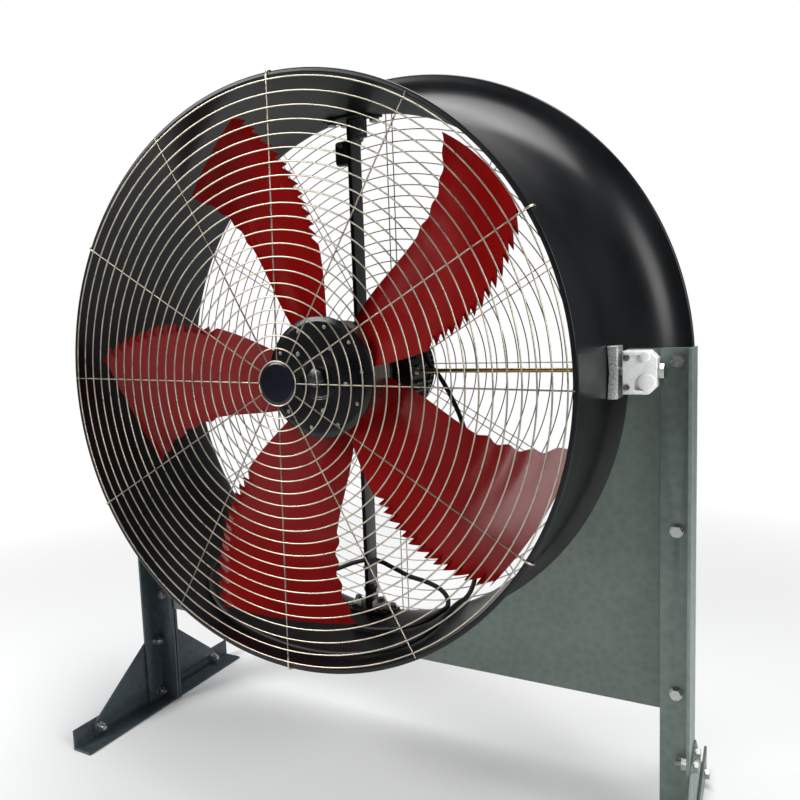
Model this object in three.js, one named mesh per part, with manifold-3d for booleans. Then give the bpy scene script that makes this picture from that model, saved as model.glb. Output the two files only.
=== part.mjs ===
import * as THREE from 'three';
import { mergeVertices } from 'three/addons/utils/BufferGeometryUtils.js';
import Module from 'manifold-3d';

// Drum fan on a bolted stand, in millimetres.
// X runs across the stand, Y from the air outlet (front) to the inlet (rear), Z up from the floor.
// While the parts are made, Y is counted from the front edge of the drum.

const wasm = await Module();
wasm.setup();

// Fits
const gap = 0.3;
const overrun = 10;
const merge_distance = 0.0001;

// How finely round things are drawn
const drum_sides = 48;
const hub_sides = 32;
const bar_sides = 24;
const bolt_sides = 8;
const hex_sides = 6;
const bell_steps = 5;

// Drum: a rolled sheet barrel that flares into an inlet bell
const floor_clearance = 204.5;
const barrel_radius = 474;
const barrel_length = 192;
const drum_sheet = 2.5;
const bead_rise = 6;
const bead_height = 9;
const bell_flare = 109;
const lip_bead = 4.5;

// Wire guards
const wire = 4;
const spokes = 12;
const ring_margin = 12;
const spoke_margin = 2;
const front_plate_radius = 36;
const front_rings = 8;
const rear_plate_radius = 70;
const rear_rings = 6;

// Impeller
const blade_count = 5;
const tip_clearance = 17.5;
const hub_front = 115;
const hub_radius = 100;
const hub_depth = 74;
const hub_disc_radius = 108;
const hub_disc_sheet = 6;
const hub_back_sheet = 8;
const shaft_radius = 14;
const hub_nut_radius = 18;
const hub_nut_height = 10;

// Blades: how far each corner lies behind the hub's front face
const blade_sheet = 3;
const blade_seat = 1.2;
const root_leading_offset = 71;
const root_trailing_offset = 13;
const tip_leading_offset = 29;
const tip_trailing_offset = -71;
const camber_share = 0.06;

// Blades: half the angle they span, and how far their middle line lags behind the root, in degrees
const first_blade_angle = 46;
const root_half_angle = 30;
const middle_half_angle = 19.5;
const tip_half_angle = 14.5;
const root_lag_angle = 4;
const middle_lag_angle = 10.5;
const tip_lag_angle = 0;

// Blades: saw teeth on the trailing edge and scallops on the leading edge
const tooth_depth = 12;
const tooth_count = 14;
const tooth_start_share = 0.357;
const tooth_run_share = 0.88;
const plain_stations = 7;
const blade_columns = 4;
const scallop_depth = 6;
const scallop_lift = 3;
const first_scallop_share = 0.592;
const scallop_pitch_share = 0.11;

// Motor and what holds it
const strut_setback = 48.4;
const strut_width = 8;
const strut_depth = 38;
const strut_ring_radius = 60;
const strut_foot_length = 90;
const strut_foot_depth = 70;
const strut_foot_sheet = 5;
const plate_radius = 96;
const plate_sheet = 6;
const flange_radius = 92;
const flange_sheet = 12;
const bearing_radius = 26;
const motor_core_radius = 89;
const motor_fin_height = 11;
const motor_fin_count = 24;
const fin_foot_share = 0.3;
const fin_tip_share = 0.4;
const motor_body_length = 68;
const cover_radius = 97;
const cover_length = 26;
const cover_corner = 9;
const cover_clearance = 1.8;
const stay_radius = 4;
const box_width = 12;
const box_reach = 79;
const box_length = 54;
const box_height = 44;
const box_rise = 60;
const gland_inset = 11;
const gland_radius = 9;
const gland_nose_radius = 6.8;
const gland_length = 16;

// Cable
const cable_radius = 4.5;
const cable_lift = 1.6;
const cable_sides = 8;
const cable_steps = 80;

// Tilt pivots
const pivot_offset = 25;
const pivot_clearance = 7;
const pivot_pin_radius = 9;
const pivot_head_radius = 13.7;
const pivot_head_height = 9;
const clamp_width = 50.7;
const clamp_height = 68;
const clamp_reach = 22;
const clamp_window = 14;
const clamp_corner = 12;
const saddle_rise = 8.6;
const saddle_height = 84;
const saddle_depth = 50;

// Stand: angle uprights, panel, feet and gussets
const angle_leg = 50;
const angle_sheet = 5;
const panel_front = 269;
const panel_sheet = 2.5;
const panel_clearance = 17;
const panel_web = 64;
const panel_rise = 36;
const foot_front_reach = 249;
const foot_rear_reach = 231;
const foot_height = 44;
const gusset_sheet = 3;
const gusset_top = 163;
const gusset_toe_height = 34;
const gusset_toe_margin = 13;
const gusset_lip = 37;

// M10 hex bolts with washers, and where they sit
const bolt_radius = 5;
const bolt_hole_radius = 5.5;
const bolt_head_radius = 9.8;
const bolt_head_height = 6.4;
const washer_radius = 10.5;
const washer_sheet = 2;
const nut_height = 8;
const stub_length = 9;
const panel_bolt_low_inset = 33;
const panel_bolt_high_inset = 20;
const gusset_bolt_inset = 13;
const flange_bolt_inset = 32;
const lower_bolt_height = 24;
const toe_bolt_inset = 60;

// Along the axis, from the drum's front edge to the inlet
const hub_barrel_front = hub_front + hub_disc_sheet + gap;
const hub_back = hub_barrel_front + hub_depth;
const hub_end = hub_back + gap + hub_back_sheet;
const strut_front = hub_end + strut_setback;
const strut_back = strut_front + strut_depth;
const plate_front = strut_back + gap;
const flange_front = plate_front + plate_sheet + gap;
const body_front = flange_front + flange_sheet + gap;
const body_back = body_front + motor_body_length;
const cover_front = body_back + gap;
const cover_back = cover_front + cover_length;
const bell_end = cover_back + cover_clearance;
const rear_guard_front = bell_end + lip_bead * 2 + gap;
const box_front = body_front + (motor_body_length - box_length) / 2;
const gland_depth = box_front + box_length / 2;
const pivot_depth = panel_front - pivot_offset;
const panel_back = panel_front + panel_sheet;
const front_upright_back = panel_front - gap;
const rear_upright_front = panel_back + gap;
const foot_front = panel_front - foot_front_reach;
const foot_rear = panel_front + foot_rear_reach;
const front_bolt_depth = front_upright_back - angle_leg + flange_bolt_inset;
const rear_bolt_depth = rear_upright_front + angle_leg - flange_bolt_inset;
const front_toe_depth = foot_front + toe_bolt_inset;
const rear_toe_depth = foot_rear - toe_bolt_inset;
const machine_middle = (foot_rear - gap - wire) / 2;

// Outwards from the axis
const mouth_radius = barrel_radius + bead_rise;
const bell_radius = barrel_radius + bell_flare;
const tip_radius = barrel_radius - drum_sheet - tip_clearance;
const fin_radius = motor_core_radius + motor_fin_height;
const box_outer = fin_radius + box_width;
const gland_x = box_outer - gland_inset;
const saddle_outer = bellRadiusAt(pivot_depth + saddle_depth / 2) + saddle_rise;
const clamp_inner = saddle_outer + pivot_clearance;
const clamp_outer = clamp_inner + clamp_width;
const stand_half_width = clamp_outer + gap + angle_leg;
const gusset_inner = stand_half_width + gap;
const gusset_outer = gusset_inner + gusset_sheet;
const foot_inner = gusset_outer + gap;
const foot_outer = foot_inner + angle_sheet;
const panel_bolt_x = stand_half_width - angle_leg / 2;

// Upwards from the floor
const axis_height = floor_clearance + bell_radius + lip_bead;
const upright_bottom = angle_sheet + gap;
const panel_cut_radius = bellRadiusAt(panel_back) + panel_clearance;
const panel_bottom = axis_height - panel_cut_radius - panel_web;
const panel_top = axis_height + panel_rise;
const box_bottom = axis_height + box_rise;
const gland_bottom = box_bottom - gap - gland_length;
const upper_bolt_height = gusset_top - gusset_bolt_inset;
const panel_bolt_low = panel_bottom + panel_bolt_low_inset;
const panel_bolt_high = panel_top - panel_bolt_high_inset;
const panel_bolt_heights = [panel_bolt_low, (panel_bolt_low + panel_bolt_high) / 2, panel_bolt_high];

const paint = {
  drum: ['#0b0d10', 0.32, 0.1],
  wire: ['#c2b9a4', 0.35, 0.9],
  blade: ['#8c1115', 0.3, 0.0],
  black: ['#14161a', 0.35, 0.2],
  hub: ['#b9b3a6', 0.38, 0.9],
  steel: ['#8e928f', 0.4, 0.9],
  motor: ['#23272b', 0.5, 0.3],
  strut: ['#1b1f22', 0.5, 0.3],
  zinc: ['#66716a', 0.45, 0.7],
  bright: ['#c9cecb', 0.3, 0.9],
  cable: ['#0c0c0d', 0.55, 0.0],
};

function material(name) {
  const [color, roughness, metalness] = paint[name];
  return new THREE.MeshStandardMaterial({ color, roughness, metalness });
}

// Geometry helpers

function welded(geometry) {
  const bare = new THREE.BufferGeometry();
  bare.setAttribute('position', geometry.getAttribute('position'));
  if (geometry.index) bare.setIndex(geometry.index);
  return outward(mergeVertices(bare, merge_distance));
}

// Turns the triangles round where the enclosed volume comes out negative.
function outward(geometry) {
  const at = geometry.getAttribute('position');
  const order = Array.from(geometry.index.array);
  const corner = (i) => new THREE.Vector3().fromBufferAttribute(at, order[i]);
  const kept = [];
  let volume = 0;
  for (let i = 0; i < order.length; i += 3) {
    const [a, b, c] = [order[i], order[i + 1], order[i + 2]];
    if (a === b || b === c || a === c) continue;
    volume += corner(i).dot(corner(i + 1).cross(corner(i + 2)));
    kept.push(a, b, c);
  }
  if (volume < 0) {
    for (let i = 0; i < kept.length; i += 3) [kept[i + 1], kept[i + 2]] = [kept[i + 2], kept[i + 1]];
  }
  geometry.setIndex(kept);
  return geometry;
}

function solid(geometry) {
  const closed = welded(geometry);
  return new wasm.Manifold(new wasm.Mesh({
    numProp: 3,
    vertProperties: new Float32Array(closed.getAttribute('position').array),
    triVerts: new Uint32Array(closed.index.array),
  }));
}

function surface(body) {
  const mesh = body.getMesh();
  const geometry = new THREE.BufferGeometry();
  geometry.setAttribute('position', new THREE.BufferAttribute(new Float32Array(mesh.vertProperties), 3));
  geometry.setIndex(new THREE.BufferAttribute(new Uint32Array(mesh.triVerts), 1));
  return geometry;
}

function cut(geometry, tools) {
  let body = solid(geometry);
  for (const tool of tools) body = body.subtract(solid(tool));
  return surface(body);
}

function join(geometries) {
  let body = solid(geometries[0]);
  for (const more of geometries.slice(1)) body = body.add(solid(more));
  return surface(body);
}

function box(x0, x1, y0, y1, z0, z1) {
  const block = new THREE.BoxGeometry(x1 - x0, y1 - y0, z1 - z0);
  return block.translate((x0 + x1) / 2, (y0 + y1) / 2, (z0 + z1) / 2);
}

function outline(points) {
  return new THREE.Shape(points.map(([u, v]) => new THREE.Vector2(u, v)));
}

function thick(shape, depth) {
  return new THREE.ExtrudeGeometry(shape, { depth, bevelEnabled: false, curveSegments: bar_sides });
}

// A sheet drawn in X and Z that runs from y0 to y1.
function sheetFacingY(shape, y0, y1) {
  const turned = new THREE.Matrix4().makeBasis(
    new THREE.Vector3(1, 0, 0), new THREE.Vector3(0, 0, 1), new THREE.Vector3(0, -1, 0));
  return thick(shape, y1 - y0).applyMatrix4(turned).translate(0, y1, 0);
}

// A sheet drawn in Y and Z that runs from x0 to x1.
function sheetFacingX(shape, x0, x1) {
  const turned = new THREE.Matrix4().makeBasis(
    new THREE.Vector3(0, 1, 0), new THREE.Vector3(0, 0, 1), new THREE.Vector3(1, 0, 0));
  return thick(shape, x1 - x0).applyMatrix4(turned).translate(x0, 0, 0);
}

// A round bar along Y, about the fan's axis unless x and z say otherwise.
function barAlongY(radius, y0, y1, x = 0, z = axis_height, sides = bar_sides) {
  const bar = new THREE.CylinderGeometry(radius, radius, y1 - y0, sides);
  return bar.translate(x, (y0 + y1) / 2, z);
}

function barAlongX(radius, x0, x1, y, z, sides = bolt_sides * 2) {
  const bar = new THREE.CylinderGeometry(radius, radius, x1 - x0, sides);
  return bar.rotateZ(-Math.PI / 2).translate((x0 + x1) / 2, y, z);
}

function turnedAboutAxis(profile, sides) {
  const points = profile.map(([r, y]) => new THREE.Vector2(r, y));
  return new THREE.LatheGeometry([...points, points[0]], sides).translate(0, 0, axis_height);
}

function mirrored(geometry) {
  return outward(welded(geometry.clone().scale(-1, 1, 1)));
}

// The scene graph: three bodies in one machine

const machine = new THREE.Group();
const stand = new THREE.Group();
const drum = new THREE.Group();
const impeller = new THREE.Group();
machine.add(stand, drum, impeller);

function add(group, name, geometry, finish) {
  const mesh = new THREE.Mesh(welded(geometry), material(finish));
  mesh.name = name;
  group.add(mesh);
}

// Drum

// The outer radius of the drum at a depth: straight barrel, then a quarter of an ellipse.
function bellRadiusAt(y) {
  const share = Math.min(Math.max((y - barrel_length) / (bell_end - barrel_length), 0), 1);
  return barrel_radius + (bell_radius - barrel_radius) * (1 - Math.sqrt(1 - share * share));
}

// A point of the bell's outer face, or of a face that lies inset within it.
function bellPoint(share, inset) {
  const turn = share * Math.PI / 2;
  const rise = bell_radius - barrel_radius;
  const run = bell_end - barrel_length;
  const across = new THREE.Vector2(-run * Math.cos(turn), rise * Math.sin(turn)).normalize();
  const r = barrel_radius + rise * (1 - Math.cos(turn));
  const y = barrel_length + run * Math.sin(turn);
  return [r + across.x * inset, y + across.y * inset];
}

function drumShell() {
  const inner = barrel_radius - drum_sheet;
  const corner = (mouth_radius - barrel_radius) / 2;
  const outer = [
    [inner, corner], [inner + corner, 0], [mouth_radius - corner, 0], [mouth_radius, corner],
    [mouth_radius, bead_height - corner], [mouth_radius - corner, bead_height], [barrel_radius, bead_height]];
  const inside = [];
  for (let i = 0; i <= bell_steps; i++) {
    outer.push(bellPoint(i / bell_steps, 0));
    inside.push(bellPoint(i / bell_steps, drum_sheet));
  }
  const lip = bell_radius + lip_bead;
  outer.push([lip, bell_end], [lip, bell_end + lip_bead], [bell_radius, bell_end + lip_bead * 2]);
  outer.push([bell_radius - lip_bead, bell_end + lip_bead * 2]);
  return turnedAboutAxis([...outer, ...inside.reverse()], drum_sides);
}

// The space inside the drum, shrunk all round by the given distance.
function drumInside(inset) {
  const profile = [[0, 0], [barrel_radius - drum_sheet - inset, 0]];
  for (let i = 0; i <= bell_steps; i++) profile.push(bellPoint(i / bell_steps, drum_sheet + inset));
  profile.push([0, bell_end + drum_sheet]);
  return turnedAboutAxis(profile, drum_sides);
}

function keepInside(geometry, inset) {
  return surface(solid(geometry).intersect(solid(drumInside(inset))));
}

// Guards: a centre plate, rings and spokes joined into one net

function ringOutline(radius) {
  const points = [];
  for (let i = 0; i < spokes * 2; i++) {
    const turn = i * Math.PI / spokes;
    points.push([radius * Math.cos(turn), radius * Math.sin(turn)]);
  }
  return outline(points);
}

function guardNet(plate, rim, rings, y0) {
  const half = wire / 2;
  const y1 = y0 + wire;
  const pitch = (rim - ring_margin - plate) / (rings - 1);
  const parts = [sheetFacingY(ringOutline(plate), y0, y1)];
  for (let i = 1; i < rings; i++) {
    const ring = ringOutline(plate + i * pitch + half);
    ring.holes.push(ringOutline(plate + i * pitch - half));
    parts.push(sheetFacingY(ring, y0, y1));
  }
  for (let i = 0; i < spokes; i++) {
    parts.push(box(-half, half, y0, y1, 0, rim - spoke_margin).rotateY(i * 2 * Math.PI / spokes));
  }
  return join(parts).translate(0, 0, axis_height);
}

// Impeller blades

// A value at a share of the way from root to tip, on a curve through three given ones.
function eased(root, middle, tip, share) {
  const from_root = root * (1 - share) * (1 - 2 * share);
  const from_middle = middle * 4 * share * (1 - share);
  const from_tip = tip * share * (2 * share - 1);
  return from_root + from_middle + from_tip;
}

// How far a scallop of the leading edge stands out, from 0 to 1.
function scallop(along) {
  const turns = (along - first_scallop_share) / scallop_pitch_share;
  return turns < -1 / 2 ? 0 : (1 + Math.cos(2 * Math.PI * turns)) / 2;
}

// A point of the blade's middle face: along runs from root to tip, across from leading to trailing edge.
function bladePoint(along, across, notch) {
  const root = hub_radius + blade_seat;
  const radius = root + along * (tip_radius - root);
  const half = eased(root_half_angle, middle_half_angle, tip_half_angle, along) * Math.PI / 180;
  const lag = eased(root_lag_angle, middle_lag_angle, tip_lag_angle, along) * Math.PI / 180;
  const leading = hub_front + root_leading_offset + along * (tip_leading_offset - root_leading_offset);
  const trailing = hub_front + root_trailing_offset + along * (tip_trailing_offset - root_trailing_offset);
  const near_leading = (1 - across) ** 2;
  const reach = scallop_depth * scallop(along) * near_leading + notch;
  const turn = lag - half + 2 * half * across - reach / radius;
  const camber = camber_share * radius * half * Math.sin(Math.PI * across);
  const lift = scallop_lift * scallop(along) * near_leading;
  const y = leading + (trailing - leading) * across + camber + lift;
  return new THREE.Vector3(radius * Math.sin(turn), y, radius * Math.cos(turn));
}

// The stations from root to tip, each with how deep the trailing edge is notched there.
function bladeStations() {
  const stations = [];
  for (let i = 0; i < plain_stations; i++) {
    stations.push([tooth_start_share * i / plain_stations, 0]);
  }
  const pitch_share = (1 - tooth_start_share) / tooth_count;
  for (let i = 0; i < tooth_count; i++) {
    const point_share = tooth_start_share + i * pitch_share;
    stations.push([point_share, 0]);
    stations.push([point_share + pitch_share * tooth_run_share, tooth_depth]);
  }
  stations.push([1, 0]);
  return stations;
}

function bladeSolid(turn) {
  const stations = bladeStations();
  const rows = stations.length;
  const columns = blade_columns + 1;
  const positions = [];
  for (const side of [-1, 1]) {
    for (const [along, depth] of stations) {
      for (let j = 0; j < columns; j++) {
        const notch = j === blade_columns ? depth : 0;
        const point = bladePoint(along, j / blade_columns, notch);
        positions.push(point.x, point.y + side * blade_sheet / 2, point.z);
      }
    }
  }
  const at = (side, i, j) => side * rows * columns + i * columns + j;
  const faces = [];
  const quad = (a, b, c, d) => faces.push(a, b, c, a, c, d);
  const last = rows - 1;
  const edge = blade_columns;
  for (let i = 0; i < last; i++) {
    for (let j = 0; j < edge; j++) {
      quad(at(0, i, j), at(0, i + 1, j), at(0, i + 1, j + 1), at(0, i, j + 1));
      quad(at(1, i, j), at(1, i, j + 1), at(1, i + 1, j + 1), at(1, i + 1, j));
    }
    quad(at(0, i, 0), at(1, i, 0), at(1, i + 1, 0), at(0, i + 1, 0));
    quad(at(0, i, edge), at(0, i + 1, edge), at(1, i + 1, edge), at(1, i, edge));
  }
  for (let j = 0; j < edge; j++) {
    quad(at(0, 0, j), at(0, 0, j + 1), at(1, 0, j + 1), at(1, 0, j));
    quad(at(0, last, j), at(1, last, j), at(1, last, j + 1), at(0, last, j + 1));
  }
  const geometry = new THREE.BufferGeometry();
  geometry.setAttribute('position', new THREE.Float32BufferAttribute(positions, 3));
  geometry.setIndex(faces);
  return geometry.rotateY(turn).translate(0, 0, axis_height);
}

// Motor

function finnedBody() {
  const points = [];
  const step = 2 * Math.PI / motor_fin_count;
  const profile = [
    [0, motor_core_radius], [fin_foot_share, motor_core_radius], [fin_tip_share, fin_radius],
    [1 - fin_tip_share, fin_radius], [1 - fin_foot_share, motor_core_radius]];
  for (let i = 0; i < motor_fin_count; i++) {
    for (const [place_share, radius] of profile) {
      const turn = (i + place_share) * step;
      points.push([radius * Math.cos(turn), radius * Math.sin(turn)]);
    }
  }
  return sheetFacingY(outline(points), body_front, body_back).translate(0, 0, axis_height);
}

function motorFlange() {
  const bar = barAlongY(flange_radius, flange_front, flange_front + flange_sheet);
  return cut(bar, [barAlongY(bearing_radius + gap, flange_front - overrun, body_front + overrun)]);
}

function shaftBearing() {
  const ring = barAlongY(bearing_radius, flange_front, flange_front + flange_sheet);
  return cut(ring, [barAlongY(shaft_radius + gap, flange_front - overrun, body_front + overrun)]);
}

function motorPlate() {
  const plate = barAlongY(plate_radius, plate_front, plate_front + plate_sheet);
  return cut(plate, [barAlongY(shaft_radius + gap * 2, plate_front - overrun, plate_front + overrun)]);
}

function fanCover() {
  return turnedAboutAxis([
    [0, cover_front], [cover_radius, cover_front], [cover_radius, cover_back - cover_corner],
    [cover_radius - cover_corner, cover_back], [0, cover_back]], bar_sides);
}

function terminalBox() {
  const block = box(
    box_outer - box_reach, box_outer, box_front, box_front + box_length, box_bottom, box_bottom + box_height);
  const from = body_front - overrun;
  const to = body_back + overrun;
  return cut(block, [barAlongY(fin_radius + gap, from, to, 0, axis_height, hub_sides * 2)]);
}

// The gland points down out of the box: a hex collar and a round nose.
function cableGland() {
  const nose = new THREE.CylinderGeometry(gland_nose_radius, gland_nose_radius, gland_length, bolt_sides);
  const collar = new THREE.CylinderGeometry(gland_radius, gland_radius, gland_length / 2, hex_sides);
  const placed = join([nose, collar.translate(0, gland_length / 4, 0)]).rotateX(Math.PI / 2);
  return placed.translate(gland_x, gland_depth, gland_bottom + gland_length / 2);
}

// Strut, its feet on the drum's wall, and the stay rods

// A flat bar set edge on to the air, with a ring round the shaft that the motor plate bolts to.
function motorStrut() {
  const half = strut_width / 2;
  const reach = bell_radius;
  const bar = box(-half, half, strut_front, strut_back, axis_height - reach, axis_height + reach);
  const ring = barAlongY(strut_ring_radius, strut_front, strut_back);
  const shaft_hole = barAlongY(shaft_radius + gap * 4, strut_front - overrun, strut_back + overrun);
  return keepInside(cut(join([bar, ring]), [shaft_hole]), strut_foot_sheet + gap * 2);
}

function strutFoot(up) {
  const half = strut_foot_length / 2;
  const middle = (strut_front + strut_back) / 2;
  const reach = bell_radius;
  const patch = box(
    -half, half, middle - strut_foot_depth / 2, middle + strut_foot_depth / 2,
    axis_height + (up > 0 ? 0 : -reach), axis_height + (up > 0 ? reach : 0));
  return cut(keepInside(patch, gap), [drumInside(gap + strut_foot_sheet)]);
}

function stayRod() {
  const depth = plate_front + plate_sheet / 2;
  const rod = barAlongX(stay_radius, plate_radius + gap, bell_radius, depth, axis_height, bolt_sides);
  return keepInside(rod, gap);
}

// Cable: from the gland down the right side, round the drum's floor, over a tie at the strut and down again

// The hanging stretch: how far right of the gland, behind it and below it
const cable_drop = [
  [0, 0, gap], [0, 0, 10], [3, 0, 22], [12, 0, 38], [28, 0, 56], [50, 0, 92], [69, 0, 132], [84, 0, 178],
  [92, 0, 234], [96, 0, 294], [99, -1, 348], [101, -5, 384], [103, -12, 417], [104, -26, 445],
  [104, -48, 462], [104, -76, 468],
];

// The loop: across as a share of the barrel's radius, the depth, and the height over the drum's floor
const cable_loops = [
  [0.4346, 240, 0], [0.437, 213, 0], [0.441, 185, 0], [0.4515, 132, 0], [0.448, 100, 0], [0.422, 73, 0],
  [0.37, 57, 0], [0.2637, 50, 0], [0.1224, 46, 0], [-0.0253, 45, 0], [-0.173, 45, 0], [-0.308, 46, 0],
  [-0.4262, 54, 0], [-0.5169, 80, 0], [-0.5738, 120, 0], [-0.5992, 165, 0], [-0.5844, 208, 0],
  [-0.5316, 242, 0], [-0.4515, 262, 0], [-0.3165, 284, 15], [-0.211, 296, 51], [-0.1055, 299, 81],
  [-0.008, 297, 94], [0.0907, 298, 78], [0.155, 297, 64], [0.2194, 292, 54], [0.2764, 282, 43],
  [0.3249, 268, 31], [0.3671, 250, 15.5], [0.3955, 222, 1.5], [0.392, 192, 1.5], [0.36, 168, 0],
  [0.3, 154, 0], [0.22, 150, 0], [0.13, 153, 0], [0.05, 160, 0],
];

function cableRoute() {
  const points = [];
  for (const [right, behind, below] of cable_drop) {
    points.push(new THREE.Vector3(gland_x + right, gland_depth + behind, gland_bottom - below));
  }
  for (const [across_share, depth, rise] of cable_loops) {
    const x = across_share * barrel_radius;
    const inner = bellRadiusAt(depth) - drum_sheet - cable_radius - cable_lift;
    points.push(new THREE.Vector3(x, depth, axis_height - Math.sqrt(inner * inner - x * x) + rise));
  }
  return points;
}

function cableTube() {
  const path = new THREE.CatmullRomCurve3(cableRoute(), false, 'centripetal');
  const section = [];
  for (let i = 0; i < cable_sides; i++) {
    const turn = i * 2 * Math.PI / cable_sides;
    section.push([cable_radius * Math.cos(turn), cable_radius * Math.sin(turn)]);
  }
  return new THREE.ExtrudeGeometry(outline(section), { extrudePath: path, steps: cable_steps });
}

// Hub and shaft

function hubDisc(radius, y0, y1) {
  const disc = barAlongY(radius, y0, y1, 0, axis_height, hub_sides);
  return cut(disc, [barAlongY(shaft_radius + gap, y0 - overrun, y1 + overrun)]);
}

function shaft() {
  return join([
    barAlongY(shaft_radius, hub_front - gap - hub_nut_height / 2, body_front - gap),
    barAlongY(hub_nut_radius, hub_front - gap - hub_nut_height, hub_front - gap, 0, axis_height, hex_sides)]);
}

// A hex bolt along Y: head and washer in front, then shank, washer, nut and thread stub.
function hexBolt(grip) {
  const head = -gap - washer_sheet;
  const head_top = head - bolt_head_height;
  const seat = grip + gap;
  const nut = seat + washer_sheet;
  const nut_end = nut + nut_height;
  const stub_end = nut_end + stub_length;
  const profile = [
    [0, head_top], [bolt_head_radius, head_top], [bolt_head_radius, head], [washer_radius, head],
    [washer_radius, -gap], [bolt_radius, -gap], [bolt_radius, seat], [washer_radius, seat],
    [washer_radius, nut], [bolt_head_radius, nut], [bolt_head_radius, nut_end], [bolt_radius, nut_end],
    [bolt_radius, stub_end], [0, stub_end]];
  return turnedAboutAxis(profile, hex_sides).translate(0, 0, -axis_height);
}

function boltAlongY(x, y, z, grip) {
  return hexBolt(grip).translate(x, y, z);
}

// The head is on the outside, at x, and the nut is nearer the middle of the stand.
function boltAlongX(x, y, z, grip) {
  return hexBolt(grip).rotateZ(Math.PI / 2).translate(x, y, z);
}

function holeAlongY(x, z) {
  return barAlongY(bolt_hole_radius, -overrun, foot_rear + overrun, x, z, bolt_sides);
}

function holeAlongX(y, z) {
  return barAlongX(bolt_hole_radius, barrel_radius, foot_outer + overrun, y, z, bolt_sides);
}

// Stand

const side_holes = [
  holeAlongX(front_bolt_depth, upper_bolt_height),
  holeAlongX(front_bolt_depth, lower_bolt_height),
  holeAlongX(front_toe_depth, lower_bolt_height),
  holeAlongX(rear_bolt_depth, upper_bolt_height),
  holeAlongX(rear_bolt_depth, lower_bolt_height),
  holeAlongX(rear_toe_depth, lower_bolt_height),
];
const panel_holes = panel_bolt_heights.map((z) => holeAlongY(panel_bolt_x, z));

function upright(corner, direction) {
  const outer = stand_half_width;
  const inner = outer - angle_leg;
  const profile = outline([
    [inner, corner], [outer, corner], [outer, corner + direction * angle_leg],
    [outer - angle_sheet, corner + direction * angle_leg],
    [outer - angle_sheet, corner + direction * angle_sheet], [inner, corner + direction * angle_sheet]]);
  const bar = thick(profile, panel_top - upright_bottom).translate(0, 0, upright_bottom);
  return cut(bar, [...side_holes, ...panel_holes]);
}

function foot() {
  const profile = outline([
    [foot_outer - angle_leg, 0], [foot_outer, 0], [foot_outer, foot_height],
    [foot_inner, foot_height], [foot_inner, angle_sheet], [foot_outer - angle_leg, angle_sheet]]);
  return cut(sheetFacingY(profile, foot_front, foot_rear), side_holes);
}

// A gusset ends just past its toe bolt, and its top edge slopes down to there.
function gusset(from, direction, toe_depth) {
  const edge = from + direction * gusset_lip;
  const toe = toe_depth + direction * gusset_toe_margin;
  const shape = outline([
    [from, upright_bottom], [toe, upright_bottom], [toe, gusset_toe_height],
    [edge, gusset_top], [from, gusset_top]]);
  return cut(sheetFacingX(shape, gusset_inner, gusset_outer), side_holes);
}

function standPanel() {
  const side = stand_half_width - gap;
  const from = Math.asin(panel_rise / panel_cut_radius);
  const shape = new THREE.Shape();
  shape.moveTo(-side, panel_bottom);
  shape.lineTo(side, panel_bottom);
  shape.lineTo(side, panel_top);
  shape.absarc(0, axis_height, panel_cut_radius, from, Math.PI - from, true);
  shape.lineTo(-side, panel_top);
  const holes = [];
  for (const z of panel_bolt_heights) {
    holes.push(holeAlongY(panel_bolt_x, z), holeAlongY(-panel_bolt_x, z));
  }
  return cut(sheetFacingY(shape, panel_front, panel_back), holes);
}

// Tilt pivots

function pivotClamp() {
  const half = clamp_height / 2;
  const outer = clamp_outer;
  const shape = outline([
    [clamp_inner, axis_height - half], [outer - clamp_corner, axis_height - half],
    [outer, axis_height - half + clamp_corner], [outer, axis_height + half - clamp_corner],
    [outer - clamp_corner, axis_height + half], [clamp_inner, axis_height + half]]);
  const clamp_front = pivot_depth - clamp_reach;
  const block = sheetFacingY(shape, clamp_front, panel_front - gap);
  const left = (clamp_inner + clamp_outer - clamp_window) / 2;
  const low = axis_height - half + clamp_corner / 2;
  const front = clamp_front - overrun;
  const window = box(
    left, left + clamp_window, front, clamp_front + clamp_window / 2, low, low + clamp_window);
  const from = clamp_inner - overrun;
  const bore = barAlongX(pivot_pin_radius + gap, from, outer + overrun, pivot_depth, axis_height);
  return cut(block, [window, bore]);
}

function pivotSaddle() {
  const half = saddle_height / 2;
  const inner = Math.sqrt((barrel_radius + gap) ** 2 - half ** 2) - overrun;
  const block = box(
    inner, saddle_outer, pivot_depth - saddle_depth / 2, pivot_depth + saddle_depth / 2,
    axis_height - half, axis_height + half);
  const bore = barAlongX(pivot_pin_radius + gap, inner, saddle_outer + overrun, pivot_depth, axis_height);
  return cut(block, [drumSpace(), bore]);
}

// What the drum takes up, with a gap all round, for cutting what seats on its outside.
function drumSpace() {
  const profile = [[0, -overrun], [barrel_radius + gap, -overrun]];
  for (let i = 0; i <= bell_steps; i++) profile.push(bellPoint(i / bell_steps, -gap));
  profile.push([0, bell_end]);
  return turnedAboutAxis(profile, drum_sides);
}

function pivotPin() {
  const head = clamp_outer + gap;
  const head_top = head + pivot_head_height;
  const shank = barAlongX(pivot_pin_radius, barrel_radius + gap, head + gap, pivot_depth, axis_height);
  const hex = barAlongX(pivot_head_radius, head, head_top, pivot_depth, axis_height, hex_sides);
  return cut(join([shank, hex]), [drumSpace()]);
}

// Put the stand together

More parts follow.
